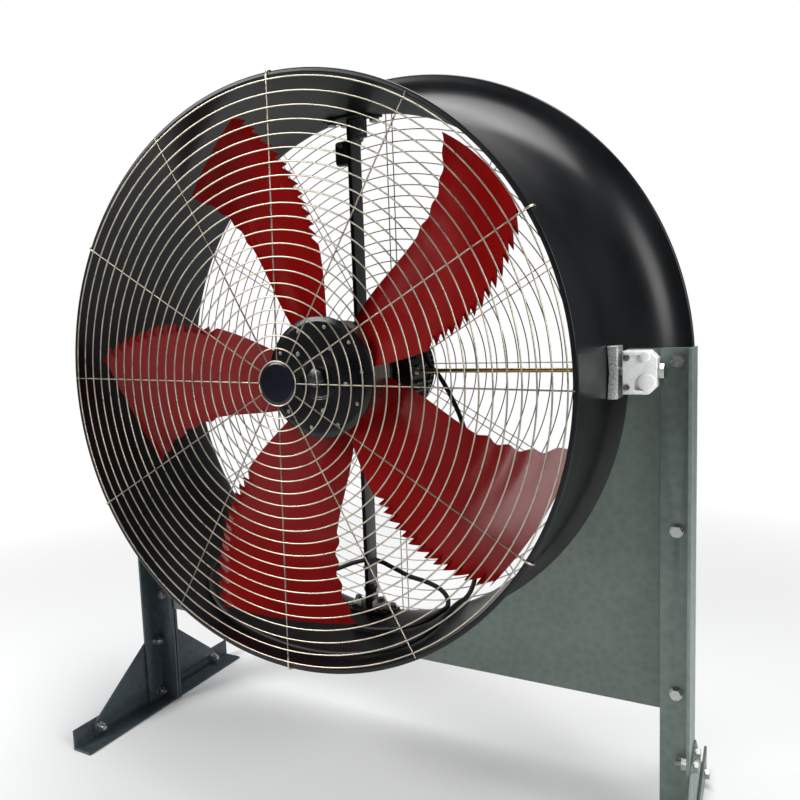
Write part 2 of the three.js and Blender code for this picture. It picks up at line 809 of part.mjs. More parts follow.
add(stand, 'stand_panel', standPanel(), 'zinc');
const side_pieces = [
  ['upright_front', upright(front_upright_back, -1), 'zinc'],
  ['upright_rear', upright(rear_upright_front, 1), 'zinc'],
  ['foot', foot(), 'zinc'],
  ['gusset_front', gusset(front_upright_back, -1, front_toe_depth), 'zinc'],
  ['gusset_rear', gusset(rear_upright_front, 1, rear_toe_depth), 'zinc'],
  ['pivot_clamp', pivotClamp(), 'bright'],
];
const panel_grip = angle_sheet * 2 + panel_sheet + gap * 2;
panel_bolt_heights.forEach((z, i) => {
  const y = front_upright_back - angle_sheet;
  side_pieces.push([`panel_bolt_${i + 1}`, boltAlongY(panel_bolt_x, y, z, panel_grip), 'steel']);
});
const upper_grip = angle_sheet + gap + gusset_sheet;
const lower_grip = foot_outer - stand_half_width + angle_sheet;
const toe_grip = foot_outer - gusset_inner;
for (const [end, depth, toe_depth] of [
  ['front', front_bolt_depth, front_toe_depth], ['rear', rear_bolt_depth, rear_toe_depth]]) {
  side_pieces.push(
    [`gusset_bolt_${end}_upper`, boltAlongX(gusset_outer, depth, upper_bolt_height, upper_grip), 'steel'],
    [`gusset_bolt_${end}_lower`, boltAlongX(foot_outer, depth, lower_bolt_height, lower_grip), 'steel'],
    [`gusset_bolt_${end}_toe`, boltAlongX(foot_outer, toe_depth, lower_bolt_height, toe_grip), 'steel']);
}
for (const [name, geometry, finish] of side_pieces) {
  add(stand, `${name}_right`, geometry, finish);
  add(stand, `${name}_left`, mirrored(geometry), finish);
}

// Put the drum together

add(drum, 'drum_shell', drumShell(), 'drum');
add(drum, 'front_guard', guardNet(front_plate_radius, mouth_radius, front_rings, -gap - wire), 'wire');
const lip_radius = bell_radius + lip_bead;
add(drum, 'rear_guard', guardNet(rear_plate_radius, lip_radius, rear_rings, rear_guard_front), 'wire');
for (const [side, mirror] of [['right', false], ['left', true]]) {
  const pieces = [['pivot_saddle', pivotSaddle(), 'bright'], ['pivot_pin', pivotPin(), 'steel']];
  for (const [name, geometry, finish] of pieces) {
    add(drum, `${name}_${side}`, mirror ? mirrored(geometry) : geometry, finish);
  }
}

add(drum, 'strut_foot_top', strutFoot(1), 'strut');
add(drum, 'strut_foot_bottom', strutFoot(-1), 'strut');
add(drum, 'motor_strut', motorStrut(), 'strut');
add(drum, 'motor_plate', motorPlate(), 'strut');
add(drum, 'stay_rod_right', stayRod(), 'steel');
add(drum, 'stay_rod_left', mirrored(stayRod()), 'steel');
add(drum, 'motor_flange', motorFlange(), 'motor');
add(drum, 'shaft_bearing', shaftBearing(), 'steel');
add(drum, 'motor_body', finnedBody(), 'motor');
add(drum, 'motor_cover', fanCover(), 'motor');
add(drum, 'terminal_box', terminalBox(), 'motor');
add(drum, 'cable_gland', cableGland(), 'black');
add(drum, 'supply_cable', cableTube(), 'cable');

// Put the impeller together

add(impeller, 'hub_front_disc', hubDisc(hub_disc_radius, hub_front, hub_front + hub_disc_sheet), 'black');
add(impeller, 'hub_barrel', hubDisc(hub_radius, hub_barrel_front, hub_back), 'hub');
add(impeller, 'hub_back_disc', hubDisc(hub_radius, hub_back + gap, hub_end), 'black');
add(impeller, 'motor_shaft', shaft(), 'steel');
for (let i = 0; i < blade_count; i++) {
  const turn = first_blade_angle * Math.PI / 180 + i * 2 * Math.PI / blade_count;
  add(impeller, `blade_${i + 1}`, bladeSolid(turn), 'blade');
}

// The origin lies on the floor, midway between the front guard and the rear ends of the feet.
machine.position.y = -machine_middle;

export default machine;
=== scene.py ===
# %% [markdown]
# # A drum fan on a floor stand
# A rolled steel drum hangs between two angle uprights. Inside it a motor on a strut turns an impeller with
# five red blades. Wire guards close both ends. The construction is loaded as a fixed frame, and every piece
# made here goes where that frame has it. Lengths are metres, Z is up, and the air outlet faces -Y.

import math

import bmesh
import bpy
from mathutils import Matrix, Vector


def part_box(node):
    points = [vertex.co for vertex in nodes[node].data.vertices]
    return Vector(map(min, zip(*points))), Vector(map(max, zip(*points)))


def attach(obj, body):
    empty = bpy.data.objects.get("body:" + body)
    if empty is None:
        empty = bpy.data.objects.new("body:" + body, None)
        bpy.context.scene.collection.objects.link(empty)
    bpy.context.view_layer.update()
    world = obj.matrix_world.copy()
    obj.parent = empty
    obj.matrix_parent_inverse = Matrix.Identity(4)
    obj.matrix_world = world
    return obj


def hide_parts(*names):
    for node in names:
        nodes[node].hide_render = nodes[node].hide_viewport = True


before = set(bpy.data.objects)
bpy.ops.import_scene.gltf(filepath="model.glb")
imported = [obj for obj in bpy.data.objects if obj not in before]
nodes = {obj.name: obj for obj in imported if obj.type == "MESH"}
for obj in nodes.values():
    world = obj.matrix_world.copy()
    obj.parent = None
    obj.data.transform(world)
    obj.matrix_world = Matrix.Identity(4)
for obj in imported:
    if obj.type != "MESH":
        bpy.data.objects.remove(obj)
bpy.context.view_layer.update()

# %% [markdown]
# ## Where the camera stands
# The photograph shows the outlet rim as an ellipse. Its centre, the rim's radius and the vanishing points
# give the camera's place, so it is written here in rim radii from the rim's centre.

# %% Camera
mm = 0.001
drum_low, drum_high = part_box("drum_shell")
drum_front = drum_low.y
axis_height = (drum_low.z + drum_high.z) / 2
rim_radius = 480 * mm

photo_width = 800
focal_pixels = 699
camera_azimuth = math.radians(27.39)
camera_elevation = math.radians(5.71)
camera_roll = math.radians(-2.01)
aim_right = 0.457
aim_up = -0.049
camera_distance = 2.135


def make_camera():
    rim_centre = Vector((0, drum_front, axis_height))
    aim = rim_centre + rim_radius * Vector((aim_right, 0, aim_up))
    level = math.cos(camera_elevation)
    back = Vector((
        math.sin(camera_azimuth) * level, -math.cos(camera_azimuth) * level, math.sin(camera_elevation)))
    side = Vector((0, 0, 1)).cross(back).normalized()
    up = back.cross(side)
    right = side * math.cos(camera_roll) + up * math.sin(camera_roll)
    top = up * math.cos(camera_roll) - side * math.sin(camera_roll)
    data = bpy.data.cameras.new("camera")
    data.sensor_width = 36
    data.lens = data.sensor_width * focal_pixels / photo_width
    camera = bpy.data.objects.new("camera", data)
    place = Matrix((right, top, back)).transposed().to_4x4()
    place.translation = aim + back * (camera_distance * rim_radius)
    camera.matrix_world = place
    bpy.context.scene.collection.objects.link(camera)
    bpy.context.scene.camera = camera
    return camera


camera = make_camera()
print("camera at", [round(v, 3) for v in camera.location])

# %% [markdown]
# ## Helpers for meshes
# A turned piece is a profile of radius and depth swung about the fan's axis. A sheet is an outline with a
# thickness. Both come out as plain closed meshes with their place in the mesh, and the object at the origin.

# %% Mesh helpers


def new_piece(name, mesh, body, material, slot, *replaced):
    piece = bpy.data.objects.new(name, mesh)
    bpy.context.scene.collection.objects.link(piece)
    mesh.materials.clear()
    mesh.materials.append(material)
    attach(piece, body)
    if replaced:
        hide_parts(*replaced)
    return piece


def mesh_from(name, bm, smooth_angle=35):
    bmesh.ops.remove_doubles(bm, verts=bm.verts, dist=1e-6)
    bmesh.ops.recalc_face_normals(bm, faces=bm.faces)
    mesh = bpy.data.meshes.new(name)
    bm.to_mesh(mesh)
    bm.free()
    mesh.shade_smooth()
    mesh.set_sharp_from_angle(angle=math.radians(smooth_angle))
    return mesh


def add_turned(bm, profile, sides=128, centre=(0, 0)):
    """A closed profile of (radius, depth) swung about an axis along Y through centre (x, z)."""
    rings = []
    for step in range(sides):
        turn = 2 * math.pi * step / sides
        ring = []
        for radius, depth in profile:
            ring.append(bm.verts.new((
                centre[0] + radius * math.sin(turn), depth, centre[1] + radius * math.cos(turn))))
        rings.append(ring)
    count = len(profile)
    for step in range(sides):
        here, there = rings[step], rings[(step + 1) % sides]
        for i in range(count):
            j = (i + 1) % count
            if profile[i][0] < 1e-9 and profile[j][0] < 1e-9:
                continue
            corners = [here[i], here[j], there[j], there[i]]
            if profile[i][0] < 1e-9:
                corners = [here[i], here[j], there[j]]
            elif profile[j][0] < 1e-9:
                corners = [here[i], here[j], there[i]]
            bm.faces.new(corners)


def turned(name, profile, sides=128, centre=None, smooth_angle=35):
    bm = bmesh.new()
    add_turned(bm, profile, sides, centre or (0, axis_height))
    return mesh_from(name, bm, smooth_angle)


def rounded(profile, radius, steps=4):
    """The closed profile with each corner replaced by a short arc of about that radius."""
    points = [Vector(p) for p in profile]
    result = []
    for i, corner in enumerate(points):
        before, after = points[i - 1], points[(i + 1) % len(points)]
        back, on = before - corner, after - corner
        if corner.x < 1e-9 or min(back.length, on.length) < 1e-7:
            result.append(tuple(corner))
            continue
        reach = min(radius, back.length * 0.45, on.length * 0.45)
        start, end = corner + back.normalized() * reach, corner + on.normalized() * reach
        for step in range(steps + 1):
            t = step / steps
            point = start * (1 - t) ** 2 + corner * 2 * t * (1 - t) + end * t * t
            result.append(tuple(point))
    return result


def frame_copy(node, bevel, segments=2, smooth_angle=30):
    """A merged copy of a node of flat faces, with its edges rounded as on folded and sawn steel."""
    bm = bmesh.new()
    bm.from_mesh(nodes[node].data)
    bmesh.ops.remove_doubles(bm, verts=bm.verts, dist=1e-6)
    bmesh.ops.dissolve_limit(bm, angle_limit=math.radians(1), verts=bm.verts, edges=bm.edges)
    sharp = [e for e in bm.edges if len(e.link_faces) == 2 and e.calc_face_angle() > math.radians(20)]
    bmesh.ops.bevel(
        bm, geom=sharp, offset=bevel, segments=segments, profile=0.5, affect="EDGES", clamp_overlap=True)
    bmesh.ops.triangulate(bm, faces=[f for f in bm.faces if len(f.verts) > 4])
    return mesh_from(node + "_finished", bm, smooth_angle)


# %% [markdown]
# ## Helpers for materials
# Colours are written as sRGB hex and turned to linear light once. One small function adds a node, sets what
# is given as a value and links what is given as a socket.

# %% Material helpers


def linear(hex_colour, alpha=1.0):
    channels = [int(hex_colour[i:i + 2], 16) / 255 for i in (1, 3, 5)]
    return (*[c / 12.92 if c <= 0.04045 else ((c + 0.055) / 1.055) ** 2.4 for c in channels], alpha)


def add_node(tree, kind, inputs=None, **settings):
    node = tree.nodes.new(kind)
    for key, value in settings.items():
        setattr(node, key, value)
    for key, value in (inputs or {}).items():
        if isinstance(value, bpy.types.NodeSocket):
            tree.links.new(value, node.inputs[key])
        else:
            node.inputs[key].default_value = value
    return node


def new_material(name, **shader_values):
    material = bpy.data.materials.new(name)
    material.use_nodes = True
    tree = material.node_tree
    shader = tree.nodes["Principled BSDF"]
    for key, value in shader_values.items():
        shader.inputs[key.replace("_", " ").title().replace("Ior", "IOR")].default_value = value
    place = add_node(tree, "ShaderNodeTexCoord").outputs["Object"]
    return material, tree, shader, place


def math_node(tree, operation, *values):
    return add_node(tree, "ShaderNodeMath", dict(enumerate(values)), operation=operation).outputs[0]


def blended(tree, factor, low, high):
    """A colour between two hex colours."""
    return add_node(tree, "ShaderNodeMix", {
        "Factor": factor, 6: linear(low), 7: linear(high)}, data_type="RGBA").outputs[2]


def ranged(tree, value, from_low, from_high, to_low, to_high):
    node = add_node(tree, "ShaderNodeMapRange", {
        "Value": value, "From Min": from_low, "From Max": from_high, "To Min": to_low, "To Max": to_high})
    return node.outputs["Result"]


def grain(tree, place, size, detail=3.0, roughness=0.55, stretch=(1, 1, 1)):
    """Noise whose features are about size metres across."""
    mapped = add_node(tree, "ShaderNodeMapping", {"Vector": place, "Scale": stretch})
    noise = add_node(tree, "ShaderNodeTexNoise", {
        "Vector": mapped.outputs["Vector"], "Scale": 1 / size, "Detail": detail, "Roughness": roughness})
    return noise.outputs["Fac"]


def bumped(tree, shader, height, distance, strength=0.5):
    bump = add_node(tree, "ShaderNodeBump", {"Height": height, "Distance": distance, "Strength": strength})
    tree.links.new(bump.outputs["Normal"], shader.inputs["Normal"])


def grained(name, low, high, matt, tone, relief=None, relief_grain=None, **shader_values):
    """A surface whose colour and roughness follow one grain, and its relief that grain or another."""
    material, tree, shader, place = new_material(name, **shader_values)
    noise = grain(tree, place, **tone)
    tree.links.new(blended(tree, noise, low, high), shader.inputs["Base Color"])
    tree.links.new(ranged(tree, noise, 0.3, 0.7, *matt), shader.inputs["Roughness"])
    if relief:
        bumped(tree, shader, grain(tree, place, **relief_grain) if relief_grain else noise, *relief)
    return material


# %% [markdown]
# ## Black powder coat
# The drum is rolled sheet with a satin black powder coat. Powder melts into a skin with a fine orange peel,
# so its highlights are broad and soft, and dust dulls it a little in patches.

# %% Drum, strut and motor coatings


def powder_coat_black():
    material, tree, shader, place = new_material(
        "powder_coat_black", coat_weight=0.06, coat_roughness=0.2, specular_ior_level=0.24)
    dust = grain(tree, place, 0.16, detail=4.0)
    peel = grain(tree, place, 0.0035, detail=1.0)
    tree.links.new(blended(tree, ranged(tree, dust, 0.35, 0.75, 0.0, 1.0), "#07080a", "#111316"),
                   shader.inputs["Base Color"])
    tree.links.new(ranged(tree, dust, 0.3, 0.7, 0.27, 0.38), shader.inputs["Roughness"])
    bumped(tree, shader, peel, 0.00012, 0.25)
    return material


def brushed_paint(name, low, high):
    return grained(
        name, low, high, (0.38, 0.55), {"size": 0.012, "stretch": (1, 1, 0.15)}, relief=(0.0003, 0.3))


def flat_bar_paint(name, edge, flank_low, flank_high):
    """Brushed black paint with painted light on the bar's flanks, which face along X, turning them grey."""
    material = brushed_paint(name, flank_low, flank_high)
    tree = material.node_tree
    base = tree.nodes["Principled BSDF"].inputs["Base Color"]
    lit_flank_colour = base.links[0].from_socket
    normal = add_node(tree, "ShaderNodeNewGeometry").outputs["Normal"]
    along_x = add_node(tree, "ShaderNodeSeparateXYZ", {"Vector": normal}).outputs["X"]
    flank = ranged(tree, math_node(tree, "ABSOLUTE", along_x), 0.5, 0.9, 0.0, 1.0)
    mix = add_node(tree, "ShaderNodeMix", {"Factor": flank, 6: linear(edge), 7: lit_flank_colour}, data_type="RGBA")
    tree.links.new(mix.outputs[2], base)
    return material


def motor_paint():
    material, tree, shader, place = new_material("motor_cast_enamel", metallic=0.2)
    cast = grain(tree, place, 0.004, detail=4.0)
    patch = grain(tree, place, 0.05)
    tree.links.new(blended(tree, patch, "#3b3e40", "#5c6063"), shader.inputs["Base Color"])
    tree.links.new(ranged(tree, cast, 0.3, 0.7, 0.34, 0.52), shader.inputs["Roughness"])
    bumped(tree, shader, cast, 0.0004, 0.35)
    return material


drum_black = powder_coat_black()
strut_black = brushed_paint("strut_brushed_paint", "#14171a", "#23272a")
# The strut bar's grey flank colours are painted light; its own paint is the black of its front and back.
bar_black = flat_bar_paint("strut_bar_paint", "#0d0f10", "#4a4e51", "#65696c")
bracket_grey = brushed_paint("bracket_grey_primer", "#3d4448", "#565e60")
motor_grey = motor_paint()

# %% [markdown]
# ## Zinc, bright and dull
# Guard wire is drawn and zinc plated, and reads warm silver. Hot dipped sheet and angle weather to a soft
# grey with a faint spangle; the left leg's darker, bluer copy is painted shade. The cast clamps are near
# white, bright zinc with a painted highlight, and the bolts are much brighter.

# %% Metals


def hot_dip_zinc(name, low, high, metallic):
    material, tree, shader, place = new_material(name, metallic=metallic)
    spangle = add_node(tree, "ShaderNodeTexVoronoi", {"Vector": place, "Scale": 1 / 0.014, "Randomness": 1.0})
    patch = grain(tree, place, 0.12, detail=4.0)
    mixed = add_node(tree, "ShaderNodeMath", {
        0: ranged(tree, spangle.outputs["Distance"], 0.0, 0.8, 0.0, 0.3), 1: patch}, operation="ADD")
    tree.links.new(blended(tree, ranged(tree, mixed.outputs[0], 0.3, 0.9, 0.0, 1.0), low, high),
                   shader.inputs["Base Color"])
    tree.links.new(ranged(tree, patch, 0.3, 0.7, 0.38, 0.5), shader.inputs["Roughness"])
    bumped(tree, shader, patch, 0.0006, 0.15)
    return material


def bright_zinc_casting(name, low, high, metallic):
    return grained(name, low, high, (0.22, 0.36), {"size": 0.003, "detail": 4.0}, relief=(0.0003, 0.2),
                   metallic=metallic)


def plated_steel(name, low, high):
    return grained(name, low, high, (0.24, 0.4), {"size": 0.006, "detail": 4.0}, metallic=1.0)


guard_zinc = grained(
    "drawn_wire_zinc", "#a39a86", "#cfc8b9", (0.24, 0.38), {"size": 0.02}, metallic=1.0)
panel_zinc = hot_dip_zinc("hot_dip_panel", "#57625b", "#6f7b73", 0.3)
angle_zinc = hot_dip_zinc("hot_dip_angle", "#636f69", "#7f8c85", 0.35)
# The left leg's darker, bluer copy of the angle zinc is painted shade, for the side turned away from the
# light.
shaded_zinc = hot_dip_zinc("hot_dip_angle_painted_shade", "#2d363b", "#465157", 0.35)
# The clamp castings are bright zinc whose colour is raised to near white and almost non-metal as a painted
# highlight.
clamp_zinc_painted_highlight = bright_zinc_casting("bright_zinc_casting", "#f2f4f2", "#ffffff", 0.05)
saddle_zinc = bright_zinc_casting("dull_zinc_plate", "#b0b6b4", "#c9cecc", 0.5)
bolt_steel = plated_steel("plated_bolt_steel", "#8d8f8b", "#c2c3bf")
# The stay rods are coloured yellow gold.
stay_zinc = plated_steel("yellow_gold_rod", "#b39a62", "#d8c489")
shaft_steel = plated_steel("oiled_shaft_steel", "#3b3d3f", "#5a5c5e")
hub_aluminium = grained(
    "turned_aluminium", "#8f887b", "#c4bdae", (0.26, 0.4),
    {"size": 0.0016, "detail": 2.0, "stretch": (0.02, 1, 0.02)}, relief=(0.0001, 0.3), metallic=1.0,
    anisotropic=0.5)
print("metals:", len(bpy.data.materials))

# %% [markdown]
# ## Plastics and rubber
# The blades are moulded nylon, deep red and glossy, with slight sink that breaks up their highlights. The
# cable has a smooth rubber sheath, and the gland is moulded in black nylon.

# %% Plastics and rubber


def gloss_enamel(name, low, high):
    return grained(
        name, low, high, (0.16, 0.28), {"size": 0.05}, relief=(0.0008, 0.3), relief_grain={"size": 0.012},
        coat_weight=0.16, coat_roughness=0.08, specular_ior_level=0.3)


blade_red = grained(
    "blade_nylon_red", "#6c0909", "#8d0f0d", (0.18, 0.28), {"size": 0.11}, relief=(0.0012, 0.25),
    relief_grain={"size": 0.03, "detail": 2.0}, coat_weight=0.07, coat_roughness=0.14,
    specular_ior_level=0.16)
hub_black = gloss_enamel("hub_gloss_enamel", "#060708", "#0e1012")
disc_navy = gloss_enamel("disc_navy_enamel", "#04050e", "#090b18")
cable_black = grained(
    "cable_rubber", "#0b0b0c", "#17181a", (0.42, 0.58), {"size": 0.02}, relief=(0.0001, 0.3),
    relief_grain={"size": 0.0015})
tie_white = grained("tie_nylon", "#b9bab4", "#d6d6d0", (0.35, 0.5), {"size": 0.006})
gland_black = grained("gland_nylon", "#111213", "#1e2022", (0.4, 0.55), {"size": 0.01})

# %% [markdown]
# ## The supply cable
# The motor's supply cable is a stiff 9 mm rubber sheath. It leaves the gland straight down, hangs down the
# right side, goes round the drum's floor, rises to a tie on the strut and comes down again to end bare. A
# curve object with a bevel could draw it, but a swept mesh lets the same points give the shape and the
# length, so the route is two short lists: the hanging stretch from the gland, and the loop. They are the
# ones of the construction.

# %% Route of the cable
barrel_radius = 474 * mm
barrel_length = 192 * mm
drum_sheet = 2.5 * mm
lip_radius = 4.5 * mm
bell_radius = drum_high.x - lip_radius
bell_end = drum_high.y - lip_radius * 2
cable_diameter = 9 * mm
cable_lift = 1.6 * mm
gland_low, gland_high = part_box("cable_gland")
gland_middle = (gland_low + gland_high) / 2

# The hanging stretch in millimetres: right of the gland, behind it and below it
cable_drop = [
    (0, 0, 0.3), (0, 0, 10), (3, 0, 22), (12, 0, 38), (28, 0, 56), (50, 0, 92), (69, 0, 132), (84, 0, 178),
    (92, 0, 234), (96, 0, 294), (99, -1, 348), (101, -5, 384), (103, -12, 417), (104, -26, 445),
    (104, -48, 462), (104, -76, 468),
]

# The loop: across as a share of the barrel's radius, then millimetres behind the outlet and over the floor
cable_loops = [
    (0.4346, 240, 0), (0.437, 213, 0), (0.441, 185, 0), (0.4515, 132, 0), (0.448, 100, 0), (0.422, 73, 0),
    (0.37, 57, 0), (0.2637, 50, 0), (0.1224, 46, 0), (-0.0253, 45, 0), (-0.173, 45, 0), (-0.308, 46, 0),
    (-0.4262, 54, 0), (-0.5169, 80, 0), (-0.5738, 120, 0), (-0.5992, 165, 0), (-0.5844, 208, 0),
    (-0.5316, 242, 0), (-0.4515, 262, 0), (-0.3165, 284, 15), (-0.211, 296, 51), (-0.1055, 299, 81),
    (-0.008, 297, 94), (0.0907, 298, 78), (0.155, 297, 64), (0.2194, 292, 54), (0.2764, 282, 43),
    (0.3249, 268, 31), (0.3671, 250, 15.5), (0.3955, 222, 1.5), (0.392, 192, 1.5), (0.36, 168, 0),
    (0.3, 154, 0), (0.22, 150, 0), (0.13, 153, 0), (0.05, 160, 0),
]


def outside_radius(depth):
    """The drum's radius at a depth behind its front edge."""
    run = bell_end - drum_front - barrel_length
    share = min(max((depth - barrel_length) / run, 0), 1)
    return barrel_radius + (bell_radius - barrel_radius) * (1 - math.sqrt(1 - share * share))


def cable_points():
    points = []
    for right, behind, below in cable_drop:
        points.append(Vector((
            gland_middle.x + right * mm, gland_middle.y + behind * mm, gland_low.z - below * mm)))
    for across_share, depth, rise in cable_loops:
        x = across_share * barrel_radius
        inner = outside_radius(depth * mm) - drum_sheet - cable_diameter / 2 - cable_lift
        height = axis_height - math.sqrt(inner * inner - x * x) + rise * mm
        points.append(Vector((x, drum_front + depth * mm, height)))
    return points


print("cable points:", len(cable_points()))

# %% Sweep a tube


def centripetal(points, steps):
    """Points along a centripetal Catmull-Rom curve through the given ones."""
    ends = [points[0] * 2 - points[1], *points, points[-1] * 2 - points[-2]]
    result = []
    for i in range(1, len(ends) - 2):
        a, b, c, d = ends[i - 1:i + 3]
        t1 = math.sqrt((b - a).length)
        t2 = t1 + math.sqrt((c - b).length)
        t3 = t2 + math.sqrt((d - c).length)
        for step in range(steps):
            t = t1 + (t2 - t1) * step / steps
            ab = a * ((t1 - t) / t1) + b * (t / t1)
            bc = b * ((t2 - t) / (t2 - t1)) + c * ((t - t1) / (t2 - t1))
            cd = c * ((t3 - t) / (t3 - t2)) + d * ((t - t2) / (t3 - t2))
            abc = ab * ((t2 - t) / t2) + bc * (t / t2)
            bcd = bc * ((t3 - t) / (t3 - t1)) + cd * ((t - t1) / (t3 - t1))
            result.append(abc * ((t2 - t) / (t2 - t1)) + bcd * ((t - t1) / (t2 - t1)))
    result.append(points[-1])
    return result


def ring_round(bm, centre, across, other, radius, sides):
    turns = [2 * math.pi * k / sides for k in range(sides)]
    return [bm.verts.new(centre + (across * math.cos(t) + other * math.sin(t)) * radius) for t in turns]


def skin_over(bm, rings):
    """Faces between neighbouring rings of corners, with flat ends."""
    sides = len(rings[0])
    for here, there in zip(rings, rings[1:]):
        for k in range(sides):
            n = (k + 1) % sides
            bm.faces.new((here[k], here[n], there[n], there[k]))
    bm.faces.new(rings[0])
    bm.faces.new(rings[-1])


def tube(name, path, radius, sides=16):
    """A closed round tube along a path, with flat ends."""
    bm = bmesh.new()
    across = Vector((0, 1, 0))
    rings = []
    for i, point in enumerate(path):
        ahead = (path[min(i + 1, len(path) - 1)] - path[max(i - 1, 0)]).normalized()
        if abs(across.dot(ahead)) > 0.99:
            across = Vector((1, 0, 0))
        across = (across - ahead * across.dot(ahead)).normalized()
        rings.append(ring_round(bm, point, across, ahead.cross(across), radius, sides))
    skin_over(bm, rings)
    return mesh_from(name, bm, 50)


# %% Supply cable
cable_path = centripetal(cable_points(), 8)
cable = new_piece(
    "supply_cable_run", tube("supply_cable_run", cable_path, cable_diameter / 2), "drum", cable_black,
    "cable_black", "supply_cable")

# %% [markdown]
# ## The drum
# The drum is one rolled sheet. The outlet edge is beaded outwards and the inlet edge flares into a bell
# with a rolled lip. A Screw modifier could swing the profile, but a turned profile in code keeps the piece
# plain and closed, and its fine steps show a smooth bell where the frame has a few flats.

# %% Drum shell
bead_height = 9 * mm


def bell_point(share, inset):
    turn = share * math.pi / 2
    rise = bell_radius - barrel_radius
    run = bell_end - (drum_front + barrel_length)
    across = Vector((-run * math.cos(turn), rise * math.sin(turn))).normalized()
    radius = barrel_radius + rise * (1 - math.cos(turn))
    depth = drum_front + barrel_length + run * math.sin(turn)
    return radius + across.x * inset, depth + across.y * inset


def drum_mesh():
    inner = barrel_radius - drum_sheet
    bead = rounded([
        (inner, drum_front), (rim_radius, drum_front), (rim_radius, drum_front + bead_height),
        (barrel_radius, drum_front + bead_height)], 3 * mm, 5)
    bell_steps = 28
    outer = [bell_point(i / bell_steps, 0) for i in range(bell_steps + 1)]
    lip = []
    for step in range(11):
        turn = -math.pi / 2 + math.pi * step / 10
        lip.append((
            bell_radius + lip_radius * math.cos(turn), bell_end + lip_radius + lip_radius * math.sin(turn)))
    inside = [bell_point(i / bell_steps, drum_sheet) for i in range(bell_steps + 1)]
    return turned("drum_skin", [*bead, *outer, *lip[1:], *reversed(inside)], 256, smooth_angle=40)


drum = new_piece("drum_skin", drum_mesh(), "drum", drum_black, "drum_black", "drum_shell")
print("drum faces", len(drum.data.polygons))

# %% [markdown]
# ## Wire guards by Geometry Nodes
# A guard is rings and spokes of one wire, welded where they cross. Both repeat by a rule, so a node tree
# places them: points carry ring curves scaled to each radius, others carry a spoke turned to each angle,
# and one round profile sweeps them all. The tree's inputs are the real sizes.

# %% Geometry Nodes helpers


def new_tree(name, sizes):
    tree = bpy.data.node_groups.new(name, "GeometryNodeTree")
    tree.interface.new_socket("Geometry", in_out="INPUT", socket_type="NodeSocketGeometry")
    for label, kind in sizes.items():
        tree.interface.new_socket(label, in_out="INPUT", socket_type="NodeSocket" + kind)
    tree.interface.new_socket("Geometry", in_out="OUTPUT", socket_type="NodeSocketGeometry")
    return tree, add_node(tree, "NodeGroupInput").outputs


def finish_tree(tree, geometry, material):
    real = add_node(tree, "GeometryNodeRealizeInstances", {"Geometry": geometry})
    painted = add_node(tree, "GeometryNodeSetMaterial", {"Geometry": real.outputs[0], "Material": material})
    add_node(tree, "NodeGroupOutput", {"Geometry": painted.outputs[0]})
    return tree


def grown_mesh(name, tree, values, start=None):
    """The plain mesh that a tree makes with these sizes."""
    holder = bpy.data.objects.new(name, start or bpy.data.meshes.new(name))
    bpy.context.scene.collection.objects.link(holder)
    modifier = holder.modifiers.new("grown", "NODES")
    modifier.node_group = tree
    sockets = {s.name: s.identifier for s in tree.interface.items_tree if s.in_out == "INPUT"}
    for label, value in values.items():
        modifier[sockets[label]] = value
    bpy.context.view_layer.update()
    evaluated = holder.evaluated_get(bpy.context.evaluated_depsgraph_get())
    mesh = bpy.data.meshes.new_from_object(evaluated)
    bpy.data.objects.remove(holder)
    mesh.name = name
    print(name, len(mesh.polygons), "faces")
    return mesh


def vector_of(tree, x=0.0, y=0.0, z=0.0):
    return add_node(tree, "ShaderNodeCombineXYZ", {"X": x, "Y": y, "Z": z}).outputs[0]


def moved(tree, geometry, x=0.0, y=0.0, z=0.0):
    return add_node(tree, "GeometryNodeTransform", {
        "Geometry": geometry, "Translation": vector_of(tree, x, y, z)}).outputs[0]


def spun(tree, item, count, phase):
    """Copies of an item, turned evenly about the axis along Y."""
    index = add_node(tree, "GeometryNodeInputIndex").outputs[0]
    pitch = math_node(tree, "DIVIDE", 2 * math.pi, count)
    angle = math_node(tree, "ADD", phase, math_node(tree, "MULTIPLY", index, pitch))
    points = add_node(tree, "GeometryNodePoints", {"Count": count, "Position": (0, 0, 0)})
    return add_node(tree, "GeometryNodeInstanceOnPoints", {
        "Points": points.outputs[0], "Instance": item,
        "Rotation": vector_of(tree, 0.0, angle, 0.0)}).outputs[0]


# %% Guard tree
ring_corners = 180
wire_corners = 8
spoke_setback_share = 0.8


